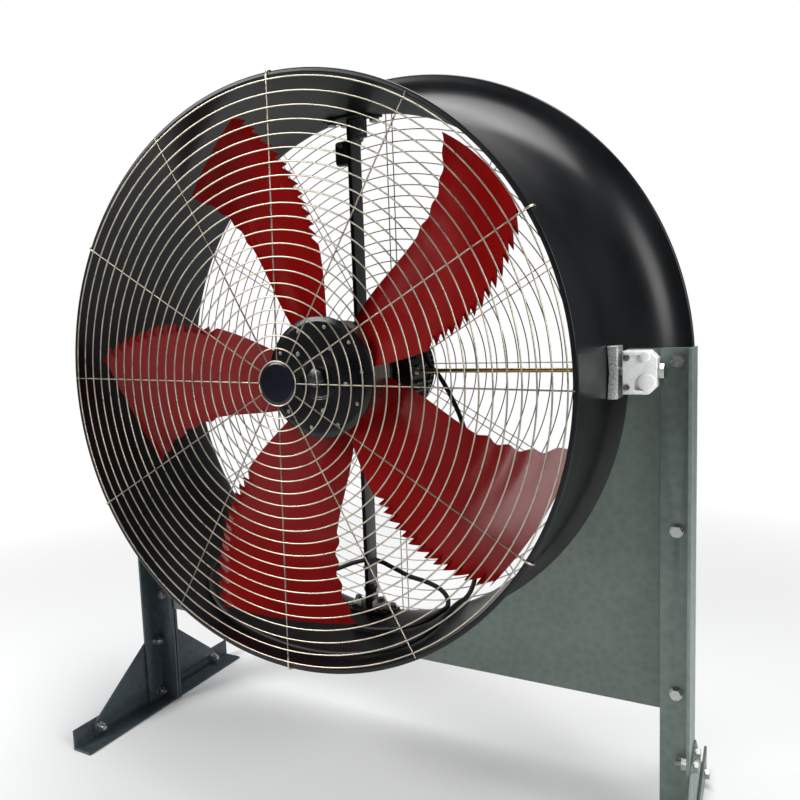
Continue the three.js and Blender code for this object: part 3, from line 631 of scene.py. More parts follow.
def guard_tree(name, material):
    tree, sizes = new_tree(name, {
        "Rings": "Int", "First Radius": "Float", "Last Radius": "Float", "Spokes": "Int",
        "Spoke Start": "Float", "Spoke End": "Float", "Spoke Pair": "Float", "Wire": "Float",
        "Depth": "Float", "Height": "Float", "Phase": "Float"})
    index = add_node(tree, "GeometryNodeInputIndex").outputs[0]
    last = math_node(tree, "SUBTRACT", sizes["Rings"], 1.0)
    span = math_node(tree, "SUBTRACT", sizes["Last Radius"], sizes["First Radius"])
    radius = math_node(tree, "ADD", sizes["First Radius"], math_node(
        tree, "MULTIPLY", span, math_node(tree, "DIVIDE", index, last)))
    circle = add_node(tree, "GeometryNodeCurvePrimitiveCircle", {"Resolution": ring_corners, "Radius": 1.0})
    upright = add_node(tree, "GeometryNodeTransform", {
        "Geometry": circle.outputs["Curve"], "Rotation": (math.pi / 2, 0, 0)})
    ring_points = add_node(tree, "GeometryNodePoints", {"Count": sizes["Rings"], "Position": (0, 0, 0)})
    rings = add_node(tree, "GeometryNodeInstanceOnPoints", {
        "Points": ring_points.outputs[0], "Instance": upright.outputs[0],
        "Scale": vector_of(tree, radius, radius, radius)})
    wires = [rings.outputs[0]]
    for side in (-0.5, 0.5):
        offset = math_node(tree, "MULTIPLY", sizes["Spoke Pair"], side)
        line = add_node(tree, "GeometryNodeCurvePrimitiveLine", {
            "Start": vector_of(tree, offset, 0.0, sizes["Spoke Start"]),
            "End": vector_of(tree, offset, 0.0, sizes["Spoke End"])})
        setback = math_node(tree, "MULTIPLY", sizes["Wire"], spoke_setback_share)
        behind = moved(tree, line.outputs[0], 0.0, setback)
        wires.append(spun(tree, behind, sizes["Spokes"], sizes["Phase"]))
    joined = add_node(tree, "GeometryNodeJoinGeometry")
    for wire in reversed(wires):
        tree.links.new(wire, joined.inputs[0])
    real = add_node(tree, "GeometryNodeRealizeInstances", {"Geometry": joined.outputs[0]})
    profile = add_node(tree, "GeometryNodeCurvePrimitiveCircle", {
        "Resolution": wire_corners, "Radius": math_node(tree, "MULTIPLY", sizes["Wire"], 0.5)})
    swept = add_node(tree, "GeometryNodeCurveToMesh", {
        "Curve": real.outputs[0], "Profile Curve": profile.outputs["Curve"], "Fill Caps": True})
    placed = moved(tree, swept.outputs[0], 0.0, sizes["Depth"], sizes["Height"])
    smooth = add_node(tree, "GeometryNodeSetShadeSmooth", {"Geometry": placed})
    return finish_tree(tree, smooth.outputs[0], material)


# %% Both guards
front_low, front_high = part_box("front_guard")
rear_low, rear_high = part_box("rear_guard")
front_wire = 2.5 * mm
rear_wire = 2.3 * mm
guard = guard_tree("welded_guard", guard_zinc)
front_mesh = grown_mesh("outlet_guard_wires", guard, {
    "Rings": 22, "First Radius": 36 * mm, "Last Radius": 467 * mm, "Spokes": 12, "Spoke Start": 34 * mm,
    "Spoke End": 476 * mm, "Spoke Pair": 0.0, "Wire": front_wire, "Depth": front_low.y + front_wire / 2,
    "Height": axis_height, "Phase": math.radians(1)})
front_guard = new_piece("outlet_guard_wires", front_mesh, "drum", guard_zinc, "guard_wire", "front_guard")
rear_mesh = grown_mesh("inlet_guard_wires", guard, {
    "Rings": 24, "First Radius": 70 * mm, "Last Radius": 574 * mm, "Spokes": 12, "Spoke Start": 68 * mm,
    "Spoke End": 584 * mm, "Spoke Pair": 14 * mm, "Wire": rear_wire, "Depth": rear_low.y + rear_wire / 2,
    "Height": axis_height, "Phase": 0.0})
rear_guard = new_piece("inlet_guard_wires", rear_mesh, "drum", guard_zinc, "guard_wire", "rear_guard")

# %% Guard centres and rim hooks
front_disc = turned("outlet_guard_disc", rounded([
    (0, front_low.y + 0.6 * mm), (31 * mm, front_low.y + 0.6 * mm), (35 * mm, front_low.y + 2 * mm),
    (35 * mm, front_high.y), (0, front_high.y)], 1 * mm), 96)
new_piece("outlet_guard_disc", front_disc, "drum", disc_navy, "strut_black")
rear_disc = turned("inlet_guard_disc", rounded([
    (0, rear_low.y + 1 * mm), (69 * mm, rear_low.y + 1 * mm), (69 * mm, rear_high.y - 0.5 * mm),
    (0, rear_high.y - 0.5 * mm)], 0.6 * mm), 96)
new_piece("inlet_guard_disc", rear_disc, "drum", guard_zinc, "guard_wire")


def rim_hook(clock):
    """A spoke's end, bent back over the drum's beaded rim."""
    turn = math.radians(clock * 30 + 1)
    outward = Vector((math.sin(turn), 0, math.cos(turn)))
    middle = Vector((0, 0, axis_height))
    route = [(462, -1.0), (476, -1.2), (481, 1.5), (483.5, 6), (483, 11), (478, 13)]
    points = [
        middle + outward * (radius * mm) + Vector((0, drum_front + depth * mm, 0)) for radius, depth in route]
    return tube(f"rim_hook_{clock}", centripetal(points, 6), 1.7 * mm, 10)


for clock in (0, 2, 4, 6, 8, 10):
    new_piece(f"rim_hook_{clock}", rim_hook(clock), "drum", guard_zinc, "guard_wire")
print("guard faces", len(front_guard.data.polygons) + len(rear_guard.data.polygons))

# %% [markdown]
# ## Blades
# A blade is a thin moulded shell, twisted and swept like a sickle: its middle lags behind the line from
# root to tip. The leading edge is scalloped and the trailing edge has saw teeth, which quiet the air. A
# subdivided plane under modifiers would blur the teeth, so a grid is bent by rule instead: stations run
# from root to tip, and each tooth gets one at its point and one at its notch. Shallow folds stiffen the
# root and break up the gloss.

# %% Sizes of a blade
hub_front_low, hub_front_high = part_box("hub_front_disc")
hub_low, hub_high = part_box("hub_barrel")
hub_front = hub_front_low.y
hub_radius = 100 * mm
blade_seat = 1.2 * mm
root_sink = 2.2 * mm
tip_radius = 454 * mm
blade_sheet = 3 * mm
first_blade = math.radians(46)
blade_count = 5
half_angles = (30, 19.5, 14.5)
lag_angles = (4, 10.5, 0)
leading_offsets = (71 * mm, 29 * mm)
trailing_offsets = (13 * mm, -71 * mm)
tooth_depth = 15 * mm
tooth_count = 14
tooth_start_share = 0.357
tooth_run_share = 0.88
scallop_depth = 6 * mm
scallop_lift = 3 * mm
first_scallop_share = 0.592
scallop_pitch_share = 0.11
fold_height = 4 * mm
fold_end_share = 0.62
camber_share = 0.06
trailing_band_share = 0.1
root_band_share = 0.02
edge_sheet_share = 0.35


def eased(low, middle, high, share):
    """The parabola through three values, at the root, half way and at the tip."""
    from_low = low * (1 - share) * (1 - 2 * share)
    from_middle = middle * 4 * share * (1 - share)
    return from_low + from_middle + high * share * (2 * share - 1)


def scallop(along):
    turns = (along - first_scallop_share) / scallop_pitch_share
    return 0 if turns < -1 / 2 else (1 + math.cos(2 * math.pi * turns)) / 2


def root_fold(along, across):
    """Two creases that fan out from the root and fade towards the tip."""
    fade = max(0.0, 1 - along / fold_end_share) ** 1.5
    first = max(0.0, 1 - abs(across - 0.3 - 0.25 * along) / 0.22)
    second = max(0.0, 1 - abs(across - 0.72 + 0.1 * along) / 0.2)
    return fold_height * fade * (first - 0.6 * second)


def blade_point(along, across, notch):
    """A point of the middle face: along from root to tip, across from leading to trailing edge."""
    root = hub_radius + blade_seat
    radius = root + along * (tip_radius - root)
    half = math.radians(eased(*half_angles, along))
    lag = math.radians(eased(*lag_angles, along))
    near_leading = (1 - across) ** 2
    near_trailing = max(0.0, 1 - (1 - across) / trailing_band_share)
    reach = scallop_depth * scallop(along) * near_leading + notch * near_trailing
    turn = lag - half + 2 * half * across - reach / radius
    leading = leading_offsets[0] + along * (leading_offsets[1] - leading_offsets[0])
    trailing = trailing_offsets[0] + along * (trailing_offsets[1] - trailing_offsets[0])
    camber = camber_share * radius * half * math.sin(math.pi * across)
    lift = scallop_lift * scallop(along) * near_leading
    depth = hub_front + leading + (trailing - leading) * across + camber + lift + root_fold(along, across)
    sunk = radius - root_sink * max(0.0, 1 - along / root_band_share)
    return Vector((sunk * math.sin(turn), depth, sunk * math.cos(turn)))


# %% Stations and mesh of a blade


def blade_stations():
    """Each station from root to tip, with how deep the trailing edge is notched there."""
    stations = [(tooth_start_share * i / 34, 0.0) for i in range(34)]
    pitch = (1 - tooth_start_share) / tooth_count
    for i in range(tooth_count):
        point = tooth_start_share + i * pitch
        for step in range(5):
            share = step / 4
            stations.append((point + pitch * tooth_run_share * share, tooth_depth * share ** 1.15))
        stations.append((point + pitch * 0.94, tooth_depth * 0.5))
    return [*stations, (1.0, 0.0)]


def blade_mesh(name, turn, columns=26):
    bm = bmesh.new()
    spin = Matrix.Rotation(turn, 3, "Y")
    rise = Vector((0, 0, axis_height))
    stations = blade_stations()
    grids = []
    for side in (-0.5, 0.5):
        grid = []
        for along, notch in stations:
            row = []
            for j in range(columns + 1):
                across = 1 - (1 - j / columns) ** 1.25
                edge = min(1.0, edge_sheet_share + 6 * min(across, 1 - across, (1 - along) * 3))
                point = blade_point(along, across, notch) + Vector((0, side * blade_sheet * edge, 0))
                row.append(bm.verts.new(spin @ point + rise))
            grid.append(row)
        grids.append(grid)
    front, back = grids
    for i in range(len(stations) - 1):
        for j in range(columns):
            bm.faces.new((front[i][j], front[i + 1][j], front[i + 1][j + 1], front[i][j + 1]))
            bm.faces.new((back[i][j], back[i][j + 1], back[i + 1][j + 1], back[i + 1][j]))
        for j in (0, columns):
            bm.faces.new((front[i][j], back[i][j], back[i + 1][j], front[i + 1][j]))
    for j in range(columns):
        for i in (0, len(stations) - 1):
            bm.faces.new((front[i][j], front[i][j + 1], back[i][j + 1], back[i][j]))
    return mesh_from(name, bm, 28)


# %% Blades
for number in range(1, blade_count + 1):
    turn = first_blade + (number - 1) * 2 * math.pi / blade_count
    name = f"blade_skin_{number}"
    new_piece(name, blade_mesh(name, turn), "impeller", blade_red, "blade_red", f"blade_{number}")
print("blades made:", blade_count)

# %% [markdown]
# ## Things that repeat
# Fins, slots, screws and bolts repeat in rings or at listed places. One tree copies whatever mesh it is
# given round the fan's axis. Another builds a bolt out of cylinders and puts one at each point it is given,
# so all the bolts of the stand share one set of sizes.

# %% Meshes that the trees copy


def prism(outline, low_y, high_y):
    """A closed block: an outline of (x, z) run from one depth to another."""
    bm = bmesh.new()
    near = [bm.verts.new((x, low_y, z)) for x, z in outline]
    far = [bm.verts.new((x, high_y, z)) for x, z in outline]
    bm.faces.new(near)
    bm.faces.new(list(reversed(far)))
    for i in range(len(outline)):
        j = (i + 1) % len(outline)
        bm.faces.new((near[i], far[i], far[j], near[j]))
    bmesh.ops.recalc_face_normals(bm, faces=bm.faces)
    return bm


def soften(bm, bevel, segments=2):
    edges = [e for e in bm.edges if e.calc_face_angle(0) > math.radians(25)]
    bmesh.ops.bevel(
        bm, geom=edges, offset=bevel, segments=segments, profile=0.5, affect="EDGES", clamp_overlap=True)
    return bm


def block(name, low, high, bevel):
    """A block between two corners given in metres, with rounded edges."""
    corners = [(low[0], low[2]), (high[0], low[2]), (high[0], high[2]), (low[0], high[2])]
    return mesh_from(name, soften(prism(corners, low[1], high[1]), bevel), 30)


def bar(name, start, end, radius, sides=32, bevel=0.0006):
    """A straight round or hex bar between two points, with its edges broken."""
    bm = bmesh.new()
    ahead = (end - start).normalized()
    across = ahead.orthogonal().normalized()
    other = ahead.cross(across)
    skin_over(bm, [ring_round(bm, place, across, other, radius, sides) for place in (start, end)])
    bmesh.ops.recalc_face_normals(bm, faces=bm.faces)
    return mesh_from(name, soften(bm, bevel), 28)


def places(name, points):
    mesh = bpy.data.meshes.new(name)
    mesh.from_pydata(points, [], [])
    return mesh


# %% Trees that repeat
crown_height = 0.7 * mm
crown_share = 0.86
thread_pitch = 1.5 * mm
thread_ridge = 0.7 * mm
thread_sink = 0.2 * mm


def ring_tree(material):
    tree, sizes = new_tree("copies_in_a_ring", {"Count": "Int", "Height": "Float", "Phase": "Float"})
    copies = spun(tree, sizes["Geometry"], sizes["Count"], sizes["Phase"])
    return finish_tree(tree, moved(tree, copies, z=sizes["Height"]), material)


def ring_of(name, item, count, material, phase=0.0):
    values = {"Count": count, "Height": axis_height, "Phase": phase}
    return grown_mesh(name, ring_tree(material), values, item)


def rod_node(tree, sides, radius, low, high):
    """A cylinder along Z from low to high."""
    length = math_node(tree, "SUBTRACT", high, low)
    rod = add_node(tree, "GeometryNodeMeshCylinder", {"Vertices": sides, "Radius": radius, "Depth": length})
    middle = math_node(tree, "MULTIPLY", math_node(tree, "ADD", high, low), 0.5)
    return moved(tree, rod.outputs["Mesh"], z=middle)


def thread_node(tree, radius, low, length):
    turns = math_node(tree, "DIVIDE", length, thread_pitch)
    spiral = add_node(tree, "GeometryNodeCurveSpiral", {
        "Resolution": 16, "Rotations": turns, "Start Radius": radius, "End Radius": radius, "Height": length})
    ridge = add_node(tree, "GeometryNodeCurvePrimitiveCircle", {"Resolution": 3, "Radius": thread_ridge})
    swept = add_node(tree, "GeometryNodeCurveToMesh", {
        "Curve": spiral.outputs[0], "Profile Curve": ridge.outputs["Curve"], "Fill Caps": True})
    return moved(tree, swept.outputs[0], z=low)


def bolt_tree(material):
    """A hex bolt with washers and nut at each point. It points along Z into the metal before it is turned."""
    tree, sizes = new_tree("hex_bolts", {
        "Grip": "Float", "Shank": "Float", "Head": "Float", "Head Height": "Float", "Washer": "Float",
        "Washer Sheet": "Float", "Nut Height": "Float", "Stub": "Float", "Turn": "Vector"})
    under_head = math_node(tree, "MULTIPLY", sizes["Washer Sheet"], -1.0)
    head_top = math_node(tree, "SUBTRACT", under_head, sizes["Head Height"])
    crown = math_node(tree, "SUBTRACT", head_top, crown_height)
    nut_seat = math_node(tree, "ADD", sizes["Grip"], sizes["Washer Sheet"])
    nut_end = math_node(tree, "ADD", nut_seat, sizes["Nut Height"])
    stub_end = math_node(tree, "ADD", nut_end, sizes["Stub"])
    crown_radius = math_node(tree, "MULTIPLY", sizes["Head"], crown_share)
    thread_radius = math_node(tree, "SUBTRACT", sizes["Shank"], thread_sink)
    pieces = [
        rod_node(tree, 24, crown_radius, crown, head_top),
        rod_node(tree, 6, sizes["Head"], head_top, under_head),
        rod_node(tree, 32, sizes["Washer"], under_head, 0.0),
        rod_node(tree, 20, sizes["Shank"], 0.0, stub_end),
        rod_node(tree, 32, sizes["Washer"], sizes["Grip"], nut_seat),
        rod_node(tree, 6, sizes["Head"], nut_seat, nut_end),
        thread_node(tree, thread_radius, nut_end, sizes["Stub"])]
    joined = add_node(tree, "GeometryNodeJoinGeometry")
    for piece in reversed(pieces):
        tree.links.new(piece, joined.inputs[0])
    bolts = add_node(tree, "GeometryNodeInstanceOnPoints", {
        "Points": sizes["Geometry"], "Instance": joined.outputs[0], "Rotation": sizes["Turn"]})
    return finish_tree(tree, bolts.outputs[0], material)


hex_bolts = bolt_tree(bolt_steel)
bolt_sizes = {
    "Shank": 5 * mm, "Head": 9.8 * mm, "Head Height": 5.7 * mm, "Washer": 10.5 * mm, "Washer Sheet": 2 * mm,
    "Nut Height": 8 * mm, "Stub": 9 * mm}
turn_to = {
    "back": (-math.pi / 2, 0.0, 0.0), "right": (0.0, math.pi / 2, 0.0), "left": (0.0, -math.pi / 2, 0.0),
    "down": (math.pi, 0.0, 0.0), "up": (0.0, 0.0, 0.0)}


def bolts_at(name, points, direction, body, slot, *replaced, **changed):
    values = {**bolt_sizes, "Turn": turn_to[direction], **changed}
    mesh = grown_mesh(name, hex_bolts, values, places(name, points))
    return new_piece(name, mesh, body, bolt_steel, slot, *replaced)


head_only = {"Grip": 0.5 * mm, "Washer Sheet": 1.2 * mm, "Nut Height": 0.1 * mm, "Stub": 0.1 * mm}
print("trees:", len(bpy.data.node_groups))

# %% [markdown]
# ## Hub
# The hub is a glossy black plate on a turned barrel, with a thinner black plate behind it. Small screws
# hold the plate to the barrel. Turned profiles give the discs, and the ring tree repeats the screws.

# %% Hub
back_low, back_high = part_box("hub_back_disc")
shaft_low, shaft_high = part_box("motor_shaft")
disc_radius = 108 * mm
shaft_radius = 14 * mm
hub_bore = shaft_radius + 0.5 * mm


def turned_piece(name, profile, sides, body, material, slot, *replaced):
    """A turned profile as a piece, its mesh named like the piece."""
    return new_piece(name, turned(name, profile, sides), body, material, slot, *replaced)


def disc_profile(radius, front, back, bore, corner):
    return rounded([(bore, front), (radius, front), (radius, back), (bore, back)], corner)


def hub_front_profile():
    front, back = hub_front_low.y, hub_front_high.y
    dish = 3 * mm
    return rounded([
        (hub_bore, front + dish), (34 * mm, front + dish), (38 * mm, front), (disc_radius - 9 * mm, front),
        (disc_radius, front + dish), (disc_radius, back), (hub_bore, back)], 1.4 * mm)


def hub_barrel_profile():
    front, back = hub_low.y, hub_high.y
    groove = back - 16 * mm
    return rounded([
        (hub_bore, front), (hub_radius, front), (hub_radius, groove), (hub_radius - 1 * mm, groove + 1 * mm),
        (hub_radius - 1 * mm, groove + 3 * mm), (hub_radius, groove + 4 * mm), (hub_radius, back),
        (hub_bore, back)], 0.7 * mm)


hub_back_profile = disc_profile(hub_radius, back_low.y, back_high.y, hub_bore, 1.5 * mm)
turned_piece(
    "hub_front_plate", hub_front_profile(), 160, "impeller", hub_black, "hub_black", "hub_front_disc")
turned_piece(
    "hub_turned_barrel", hub_barrel_profile(), 160, "impeller", hub_aluminium, "hub_silver", "hub_barrel")
turned_piece("hub_back_plate", hub_back_profile, 160, "impeller", hub_black, "hub_black", "hub_back_disc")

# %% Hub screws and shaft


def screw_item(radius, head, height, front):
    """A low round screw head at the top of a ring of that radius."""
    bm = bmesh.new()
    top, seat = front - height, front + 0.4 * mm
    profile = rounded([(0, top), (head, top), (head, seat), (0, seat)], 0.8 * mm)
    add_turned(bm, profile, 20, (0, radius))
    return mesh_from("screw_item", bm, 35)


for name, radius, head, count, phase in (
        ("hub_plate_screws", 90 * mm, 3.4 * mm, 10, 0.2), ("hub_inner_screws", 58 * mm, 4 * mm, 5, 0.5)):
    screws = ring_of(name, screw_item(radius, head, 2.2 * mm, hub_front), count, bolt_steel, phase)
    new_piece(name, screws, "impeller", bolt_steel, "bolt_steel")
axis_point = Vector((0, 0, axis_height))
nut_back = hub_front - 0.3 * mm


def on_axis(depth):
    return axis_point + Vector((0, depth, 0))


shaft = bar("drive_shaft", on_axis(shaft_low.y + 5 * mm), on_axis(shaft_high.y), shaft_radius, 48)
new_piece("drive_shaft", shaft, "impeller", shaft_steel, "bolt_steel", "motor_shaft")
nut = bar("hub_nut", on_axis(shaft_low.y), on_axis(nut_back), 18 * mm, 6, 1 * mm)
new_piece("hub_nut", nut, "impeller", shaft_steel, "bolt_steel")

# %% [markdown]
# ## Motor
# The motor's casing is cast with cooling fins along its length. Its fan cover is pressed sheet with slots
# round its edge, and daylight shows through them. A Boolean could cut the slots, but a ring of bars between
# two turned rims gives the same openings with clean faces.

# %% Motor casing
body_low, body_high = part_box("motor_body")
cover_low, cover_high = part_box("motor_cover")
flange_low, flange_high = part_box("motor_flange")
plate_low, plate_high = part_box("motor_plate")
core_radius = 89 * mm
fin_radius = 100 * mm
fin_count = 36


def fin_item():
    root, tip = core_radius - 1.5 * mm, fin_radius
    outline = [(-2.6 * mm, root), (2.6 * mm, root), (1.3 * mm, tip), (-1.3 * mm, tip)]
    fin = prism(outline, body_low.y + 3 * mm, body_high.y - 3 * mm)
    return mesh_from("fin_item", soften(fin, 0.5 * mm, 1), 30)


def core_profile():
    """The casing between its fins, with a thicker collar at each end."""
    front, back = body_low.y, body_high.y
    collar = core_radius + 3 * mm
    return rounded([
        (0, front), (collar, front), (collar, front + 5 * mm), (core_radius, front + 8 * mm),
        (core_radius, back - 8 * mm), (collar, back - 5 * mm), (collar, back), (0, back)], 1 * mm)


plate_profile = disc_profile(plate_high.x, plate_low.y, plate_high.y, 16 * mm, 1 * mm)
flange_profile = disc_profile(flange_high.x, flange_low.y, flange_high.y, 27 * mm, 2 * mm)
bearing_profile = disc_profile(26 * mm, flange_low.y, flange_high.y, 14.5 * mm, 1 * mm)
fins = ring_of("motor_fins", fin_item(), fin_count, motor_grey, math.radians(5))
turned_piece("motor_core", core_profile(), 128, "drum", motor_grey, "motor_casing", "motor_body")
new_piece("motor_fins", fins, "drum", motor_grey, "motor_casing")
turned_piece("motor_mounting_plate", plate_profile, 160, "drum", strut_black, "strut_black", "motor_plate")
turned_piece("motor_end_flange", flange_profile, 128, "drum", motor_grey, "motor_casing", "motor_flange")
turned_piece("bearing_ring", bearing_profile, 64, "drum", shaft_steel, "bolt_steel", "shaft_bearing")

# %% Motor fan cover
cover_radius = 97 * mm
cover_sheet = 2.5 * mm
slot_count = 58
slot_front = cover_low.y + 4 * mm
slot_back = cover_high.y - 9 * mm


def cover_parts():
    rim = turned("cover_rim", rounded([
        (cover_radius - 7 * mm, cover_low.y), (cover_radius, cover_low.y), (cover_radius, slot_front),
        (cover_radius - 7 * mm, slot_front)], 0.8 * mm), 128)
    corner = 8 * mm
    cap = turned("cover_cap", rounded([
        (0, cover_high.y), (cover_radius - corner, cover_high.y), (cover_radius, slot_back + 1 * mm),
        (cover_radius, slot_back), (cover_radius - cover_sheet, slot_back),
        (cover_radius - corner - 1 * mm, cover_high.y - cover_sheet),
        (0, cover_high.y - cover_sheet)], 2 * mm), 128)
    rib = block("cover_rib", (-1.6 * mm, slot_front - 0.5 * mm, cover_radius - 3 * mm),
                (1.6 * mm, slot_back + 0.5 * mm, cover_radius - 0.2 * mm), 0.4 * mm)
    return rim, cap, ring_of("cover_ribs", rib, slot_count, motor_grey)


rim, cap, ribs = cover_parts()
new_piece("motor_cover_cap", cap, "drum", motor_grey, "motor_casing", "motor_cover")
new_piece("motor_cover_rim", rim, "drum", motor_grey, "motor_casing")
new_piece("motor_cover_ribs", ribs, "drum", motor_grey, "motor_casing")

# %% [markdown]
# ## Terminal box and gland
# The terminal box is cast on to the motor's upper right, with a lid held by four screws. The gland below it
# grips the cable, and its rubber sleeve tapers on to the sheath so that the cable doesn't kink there.

# %% Terminal box
box_low, box_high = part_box("terminal_box")
new_piece("terminal_box_body", frame_copy("terminal_box", 2.5 * mm, 3), "drum", motor_grey, "motor_casing",
          "terminal_box")
lid_proud = 1.5 * mm
lid = block("terminal_box_lid", (box_low.x - lid_proud, box_low.y - lid_proud, box_high.z - 8 * mm), (
    box_high.x + lid_proud, box_high.y + lid_proud, box_high.z + 2 * mm), 2 * mm)
new_piece("terminal_box_lid", lid, "drum", motor_grey, "motor_casing")
lid_screws = [(x, y, box_high.z + 2 * mm) for x in (box_low.x + 6 * mm, box_high.x - 6 * mm)
              for y in (box_low.y + 6 * mm, box_high.y - 6 * mm)]
bolts_at("terminal_lid_screws", lid_screws, "down", "drum", "bolt_steel", **{
    **head_only, "Head": 3.6 * mm, "Head Height": 2.4 * mm, "Washer": 4.2 * mm, "Washer Sheet": 0.6 * mm,
    "Shank": 2 * mm})

# %% Cable gland


def standing(name, profile, sides=32):
    """A profile of (radius, height) swung about the gland's upright axis."""
    bm = bmesh.new()
    add_turned(bm, profile, sides, (0, 0))
    upright = Matrix.Rotation(math.pi / 2, 4, "X")
    place = Matrix.Translation((gland_middle.x, gland_middle.y, 0))
    bmesh.ops.transform(bm, matrix=place @ upright, verts=bm.verts)
    return mesh_from(name, bm, 35)


collar_low = gland_high.z - 7 * mm
new_piece("gland_collar", bar("gland_collar", Vector((gland_middle.x, gland_middle.y, collar_low)), Vector((
    gland_middle.x, gland_middle.y, gland_high.z)), 9 * mm, 6, 0.8 * mm), "drum", gland_black, "gland_black",
    "cable_gland")
new_piece("gland_dome", standing("gland_dome", rounded([
    (0, collar_low), (8.2 * mm, collar_low), (8 * mm, collar_low - 5 * mm), (6 * mm, gland_low.z),
    (0, gland_low.z)], 1.2 * mm)), "drum", gland_black, "gland_black")
new_piece("gland_sleeve", standing("gland_sleeve", [
    (0, gland_low.z + 1 * mm), (6 * mm, gland_low.z + 1 * mm), (5.6 * mm, gland_low.z - 6 * mm),
    (4.7 * mm, gland_low.z - 13 * mm), (0, gland_low.z - 13 * mm)]), "drum", cable_black, "gland_black")

# %% [markdown]
# ## Strut, brackets and stays
# The strut is a flat bar set edge on to the air, with a ring round the shaft, and it is bolted to the drum
# through a curved foot at each end. Merged copies of the frame's solids with rounded edges keep every size.
# Angles, bright clamp pieces and the clip at the top left are small pieces of their own, seated on the bar
# and the feet.

# %% Strut and feet
strut_low, strut_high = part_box("motor_strut")
bar_half = 4 * mm
foot_sheet = 5 * mm
gap = 0.3 * mm
# The bar's grey flanks are painted light on black paint.
new_piece(
    "strut_flat_bar", frame_copy("motor_strut", 1.2 * mm, 2), "drum", bar_black, "strut_black", "motor_strut")


def foot_face(x, depth, up):
    """The height of a foot's free face at a place, where the foot follows the drum's wall."""
    radius = outside_radius(depth - drum_front) - drum_sheet - gap - foot_sheet
    return axis_height + up * math.sqrt(radius * radius - x * x)


for end, up in (("top", 1), ("bottom", -1)):
    name = f"strut_foot_{end}"
    new_piece(f"{name}_plate", frame_copy(name, 1.2 * mm), "drum", strut_black, "strut_black", name)
    foot_low, foot_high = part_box(name)
    direction = "up" if up > 0 else "down"
    for number, (x, depth) in enumerate((x, y) for x in (-32 * mm, 32 * mm) for y in (
            foot_low.y + 11 * mm, foot_high.y - 11 * mm)):
        seat = (x, depth, foot_face(x, depth, up) + up * 1 * mm)
        bolts_at(f"foot_bolt_{end}_{number}", [seat], direction, "drum", "bolt_steel", **head_only)

# %% Angles, clamp pieces and clip


def strut_block(name, xs, ys, zs, bevel, material, slot="strut_black"):
    """A block beside the bar in millimetres: across, behind the bar's front edge, over the fan's axis."""
    low = (xs[0] * mm, strut_low.y + ys[0] * mm, axis_height + zs[0] * mm)
    high = (xs[1] * mm, strut_low.y + ys[1] * mm, axis_height + zs[1] * mm)
    return new_piece(name, block(name, low, high, bevel * mm), "drum", material, slot)


def through_bolt(name, depth, height, grip):
    """A bolt through the bar, its head on the right."""
    place = (bar_half + grip * mm, strut_low.y + depth * mm, axis_height + height * mm)
    bolts_at(name, [place], "left", "drum", "bolt_steel", **{
        "Grip": bar_half * 2 + grip * mm, "Washer Sheet": 1.5 * mm, "Nut Height": 6 * mm, "Stub": 3 * mm,
        "Head": 8 * mm, "Shank": 4 * mm, "Washer": 9 * mm})


strut_block("top_angle_flank", (4, 8), (4, 34), (430, 468), 0.8, bracket_grey)
strut_block("top_angle_face", (4, 36), (4, 8), (436, 468), 0.8, bracket_grey)
strut_block("top_clip", (-38, -4), (8, 24), (392, 438), 7, strut_black)
through_bolt("top_flank_bolt", 22, 440, 4)
face_bolt = {**head_only, "Head": 7 * mm, "Head Height": 5 * mm, "Washer": 8 * mm, "Shank": 4 * mm}
front = strut_low.y
angle_seat = (24 * mm, front + 4 * mm, axis_height + 447 * mm)
clip_seat = (-24 * mm, front + 8 * mm, axis_height + 429 * mm)
bolts_at("top_face_bolt", [angle_seat], "back", "drum", "bolt_steel", **face_bolt)
bolts_at("top_clip_bolt", [clip_seat], "back", "drum", "bolt_steel", **{
    **face_bolt, "Head": 4.5 * mm, "Washer": 5 * mm, "Shank": 2.5 * mm})
# The bottom clamp pieces use the near-white zinc, which is partly a painted highlight.
strut_block("bottom_clamp_right", (9, 44), (0, 18), (-470, -454), 5, clamp_zinc_painted_highlight, "bright_zinc")
strut_block("bottom_clamp_left", (-36, -14), (0, 16), (-471, -457), 5, clamp_zinc_painted_highlight, "bright_zinc")
strut_block("bottom_angle_flank", (4, 8), (6, 28), (-472, -430), 0.8, bracket_grey)
through_bolt("bottom_flank_bolt", 17, -436, 4)
clamp_heads = [(x * mm, front + 9 * mm, axis_height + z * mm) for x, z in ((27, -454), (-25, -457))]
bolts_at("bottom_clamp_bolts", clamp_heads, "down", "drum", "bolt_steel", **face_bolt)

# %% Tie that holds the cable to the strut
tie_sheet = 1.2 * mm
tie_width = 5 * mm
second_half = cable_path[len(cable_path) // 2:]
tied_point = min(second_half, key=lambda point: abs(point.x) + abs(point.y - strut_high.y))


def tie_outline(grown):
    """The tie's loop seen from above: flat round the bar's front, round behind the cable."""
    corners = [(-bar_half - grown, strut_low.y - grown), (bar_half + grown, strut_low.y - grown)]
    reach = cable_diameter / 2 + grown
    round_end = [(reach * math.cos(math.pi * k / 12), tied_point.y + reach * math.sin(math.pi * k / 12))
                 for k in range(13)]
    return [*corners, *round_end]


def tie_mesh():
    bm = bmesh.new()
    loops = []
    for grown in (0.2 * mm, 0.2 * mm + tie_sheet):
        for z in (tied_point.z - tie_width / 2, tied_point.z + tie_width / 2):
            loops.append([bm.verts.new((x, y, z)) for x, y in tie_outline(grown)])
    inner_low, inner_high, outer_low, outer_high = loops
    count = len(inner_low)
    for k in range(count):
        n = (k + 1) % count
        bm.faces.new((outer_low[k], outer_low[n], outer_high[n], outer_high[k]))
        bm.faces.new((inner_low[n], inner_low[k], inner_high[k], inner_high[n]))
        bm.faces.new((inner_low[k], inner_low[n], outer_low[n], outer_low[k]))
        bm.faces.new((inner_high[n], inner_high[k], outer_high[k], outer_high[n]))
    return mesh_from("cable_tie_loop", bm, 35)


